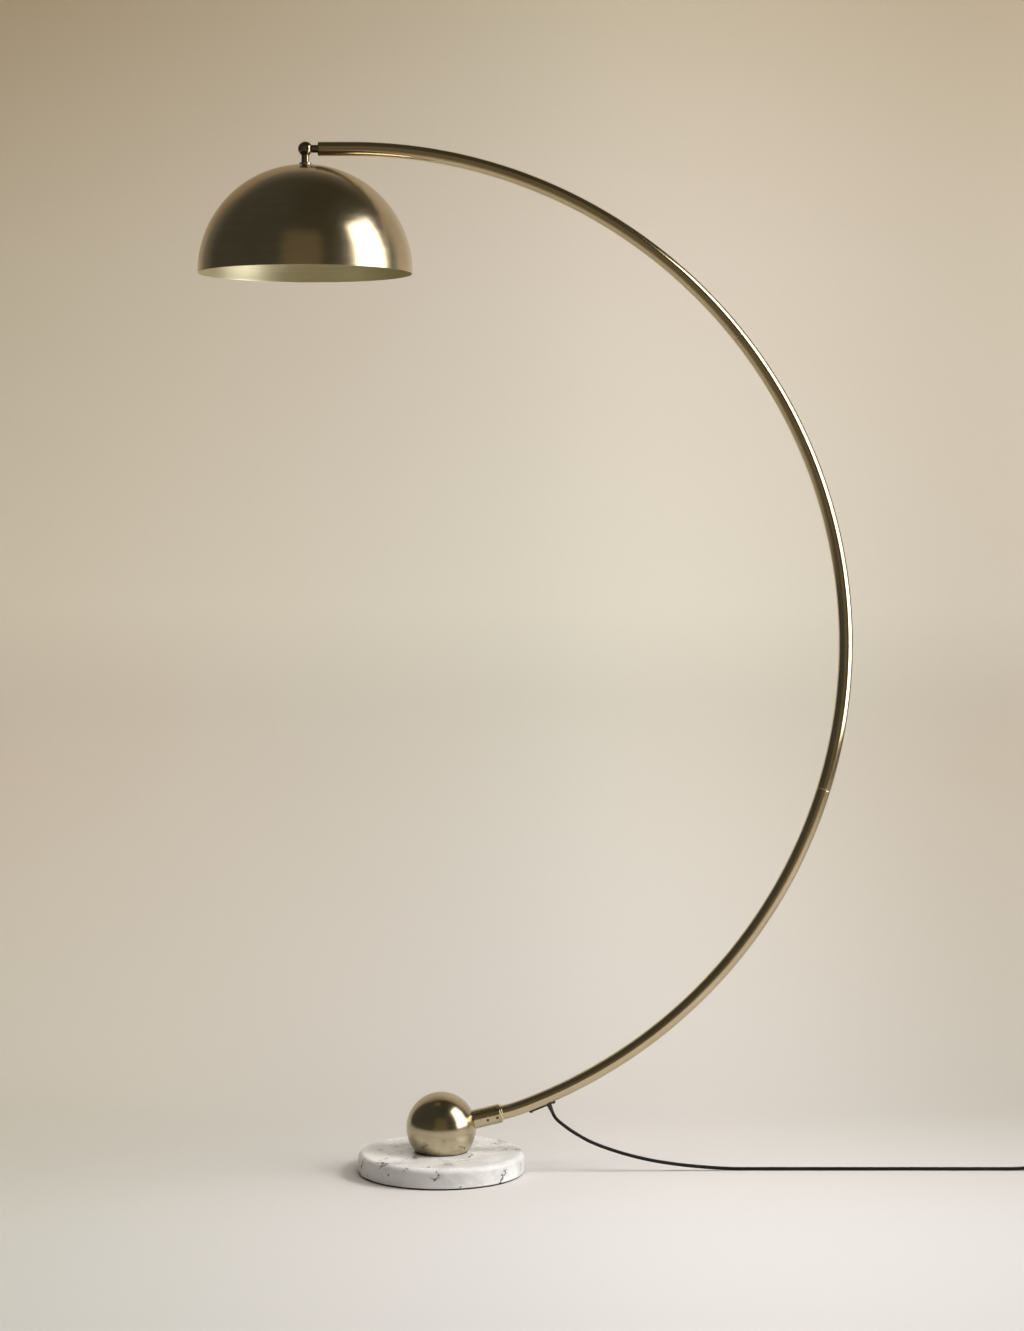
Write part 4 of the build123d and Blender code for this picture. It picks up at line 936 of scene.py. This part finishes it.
def paint_with_painted_shade():
    """Matte paint with painted light and shade: its colour follows the place, from left to right, from near
    to far and up the wall, in place of the fall of light. Beside the softbox, where its light is strongest,
    the paint is painted darker, as painted shade.
    In glossy rays the floor in front of the lamp is painted dim, a painted dark reflection in the metal. A
    back face lets the view through, so the lamp shows from behind."""
    made, tree, shader = new_material("paint with painted shade", Roughness=0.9)
    parts = tree.nodes.new("ShaderNodeSeparateXYZ")
    tree.links.new(tree.nodes.new("ShaderNodeTexCoord").outputs["Object"], parts.inputs[0])
    x, y, z = parts.outputs
    to_middle = between(tree, x, -1.2, 0.25)
    to_right = between(tree, x, 0.25, 1.3)

    def across(left, middle, right):
        return blend_colours(tree, to_right, blend_colours(tree, to_middle, left, middle), right)
    # Painted light and shade: these colours stand in for the fall of light across the floor and up the wall
    colour = across(*FLOOR_FAR_PAINTED_SHADE)
    for low, high, colours in WALL_ROWS_PAINTED_SHADE:
        risen = between(tree, z, low, high, smooth=False)
        colour = blend_colours(tree, risen, colour, across(*colours))
    colour = blend_colours(tree, between(tree, y, -0.55, 0.75), across(*FLOOR_NEAR_PAINTED_SHADE), colour)
    # Painted shade: darker paint where the softbox lights the stage most
    colour = blend_colours(tree, between(tree, x, 1.3, 2.4), colour, SHADE_PAINTED_BY_SOFTBOX)
    # Painted dark reflection: in glossy rays the floor in front of the lamp is painted dim
    mirrored = tree.nodes.new("ShaderNodeLightPath").outputs["Is Glossy Ray"]
    painted_reflection_mask = times(tree, mirrored, between(tree, y, -1.7, -1.15, 1, 0))
    colour = blend_colours(tree, painted_reflection_mask, colour, PAINTED_DARK_REFLECTION)
    tree.links.new(colour, shader.inputs["Base Color"])
    clear = tree.nodes.new("ShaderNodeBsdfTransparent")
    mixed = tree.nodes.new("ShaderNodeMixShader")
    seen_from_behind = times(
        tree, tree.nodes.new("ShaderNodeNewGeometry").outputs["Backfacing"],
        tree.nodes.new("ShaderNodeLightPath").outputs["Is Camera Ray"],
    )
    tree.links.new(seen_from_behind, mixed.inputs[0])
    tree.links.new(shader.outputs[0], mixed.inputs[1])
    tree.links.new(clear.outputs[0], mixed.inputs[2])
    tree.links.new(mixed.outputs[0], tree.nodes["Material Output"].inputs["Surface"])
    return made


def stage_sheet(name, profile, left, right, material):
    """A sheet that carries a (y, z) profile straight from left to right."""
    x = np.array((left, right), float)
    grid = np.stack(np.broadcast_arrays(x, profile[:, :1], profile[:, 1:]), axis=-1)
    index = np.arange(2 * len(profile)).reshape(-1, 2)
    quads = np.column_stack([index[:-1], index[1:, ::-1]])
    mesh = bpy.data.meshes.new(name)
    mesh.from_pydata(grid.reshape(-1, 3).tolist(), [], quads.tolist())
    mesh.materials.append(material)
    mesh.shade_smooth()
    sheet = bpy.data.objects.new(name, mesh)
    bpy.context.collection.objects.link(sheet)


WALL_Y, WALL_TOP, COVE = 1.25, 3.15, 0.75
FLOOR_FRONT, FLOOR_BACK, FLOOR_SIDE = -5.5, 5.0, 5.0
COVE_START, FLOOR_DROP = WALL_Y - COVE, 0.5 * MM
t = np.linspace(0, math.pi / 2, 40)
cove = np.column_stack([COVE_START + COVE * np.sin(t), COVE - COVE * np.cos(t)])
paint = paint_with_painted_shade()
for name, profile, left, right in (
    ("wall", np.concatenate([cove, [(WALL_Y, WALL_TOP)]]), -1.55, 2.6),
    ("floor", np.array([(FLOOR_FRONT, 0.0), (COVE_START, 0.0)]), -FLOOR_SIDE, FLOOR_SIDE),
    (
        "floor_behind", np.array([(COVE_START, -FLOOR_DROP), (FLOOR_BACK, -FLOOR_DROP)]),
        -FLOOR_SIDE, FLOOR_SIDE,
    ),
):
    stage_sheet(name, profile, left, right, paint)


def area_light(name, place, target, size, power, colour, in_reflections=True):
    """A soft rectangular light of this width and height, aimed at a point."""
    data = bpy.data.lights.new(name, "AREA")
    data.shape = "RECTANGLE"
    data.size, data.size_y = size
    data.energy, data.color = power, colour
    light = bpy.data.objects.new(name, data)
    bpy.context.collection.objects.link(light)
    light.location = place
    aim = np.array(target, float) - np.array(place, float)
    down, round_z = math.atan2(math.hypot(aim[0], aim[1]), -aim[2]), math.atan2(aim[1], aim[0])
    light.rotation_euler = (down, 0, round_z - math.pi / 2)
    light.visible_glossy = in_reflections
    light.visible_camera = False


SOFTBOX_WHITE, WARM_WHITE, KEY_WHITE = (1.0, 0.985, 0.96), (1.0, 0.955, 0.88), (1.0, 0.97, 0.92)
for name, place, target, size, power, colour, in_reflections in (
    ("tall softbox", (2.67, -0.62, 2.3), (-0.24, 0, 2.3), (2.1, 4.0), 125, SOFTBOX_WHITE, True),
    ("ceiling panel", (0.4, -1.2, 4.6), (0.2, 0.1, 0.3), (3.6, 3.2), 115, WARM_WHITE, False),
    ("key", (2.6, -0.35, 2.3), (0, 0, 0.1), (0.9, 0.9), 80, KEY_WHITE, False),
    ("rear panel", (0.3, 3.3, 3.6), (0.3, 3.0, 0), (5.0, 3.6), 170, SOFTBOX_WHITE, False),
):
    area_light(name, place, target, size, power, colour, in_reflections)


# Room: dim for the metal to mirror, with a lighter doorway in front. The camera sees one plain colour.

DARK_LEFT, DARK_RIGHT, DOORWAY = (0.072, 0.070, 0.058), (0.060, 0.053, 0.034), (0.165, 0.135, 0.085)
BEHIND_LAMP, BACKDROP = (0.22, 0.19, 0.15), (0.62, 0.56, 0.47, 1)
world = bpy.data.worlds.new("room")
bpy.context.scene.world = world
world.use_nodes = True
room = world.node_tree
room.nodes.clear()
direction = room.nodes.new("ShaderNodeSeparateXYZ")
room.links.new(room.nodes.new("ShaderNodeTexCoord").outputs["Generated"], direction.inputs[0])
x, y, z = direction.outputs
ahead = times(room, y, -1.0)
aside = math_node(room, "DIVIDE", x, math_node(room, "MAXIMUM", ahead, 0.01))
aside = math_node(room, "ABSOLUTE", aside)
door = times(
    room, between(room, aside, 0.36, 0.44, 1, 0), between(room, z, 0.60, 0.66, 1, 0),
)
dark_room = blend_colours(room, between(room, x, -0.5, 0.3), DARK_LEFT, DARK_RIGHT)
dark_room = blend_colours(room, door, dark_room, DOORWAY)
dark_room = blend_colours(room, between(room, y, 0.35, 0.75), dark_room, BEHIND_LAMP)
seen = node(room, "ShaderNodeBackground", Color=BACKDROP)
lit = node(room, "ShaderNodeBackground")
room.links.new(dark_room, lit.inputs["Color"])
chosen = room.nodes.new("ShaderNodeMixShader")
room.links.new(room.nodes.new("ShaderNodeLightPath").outputs["Is Camera Ray"], chosen.inputs[0])
room.links.new(lit.outputs[0], chosen.inputs[1])
room.links.new(seen.outputs[0], chosen.inputs[2])
room.links.new(chosen.outputs[0], room.nodes.new("ShaderNodeOutputWorld").inputs["Surface"])
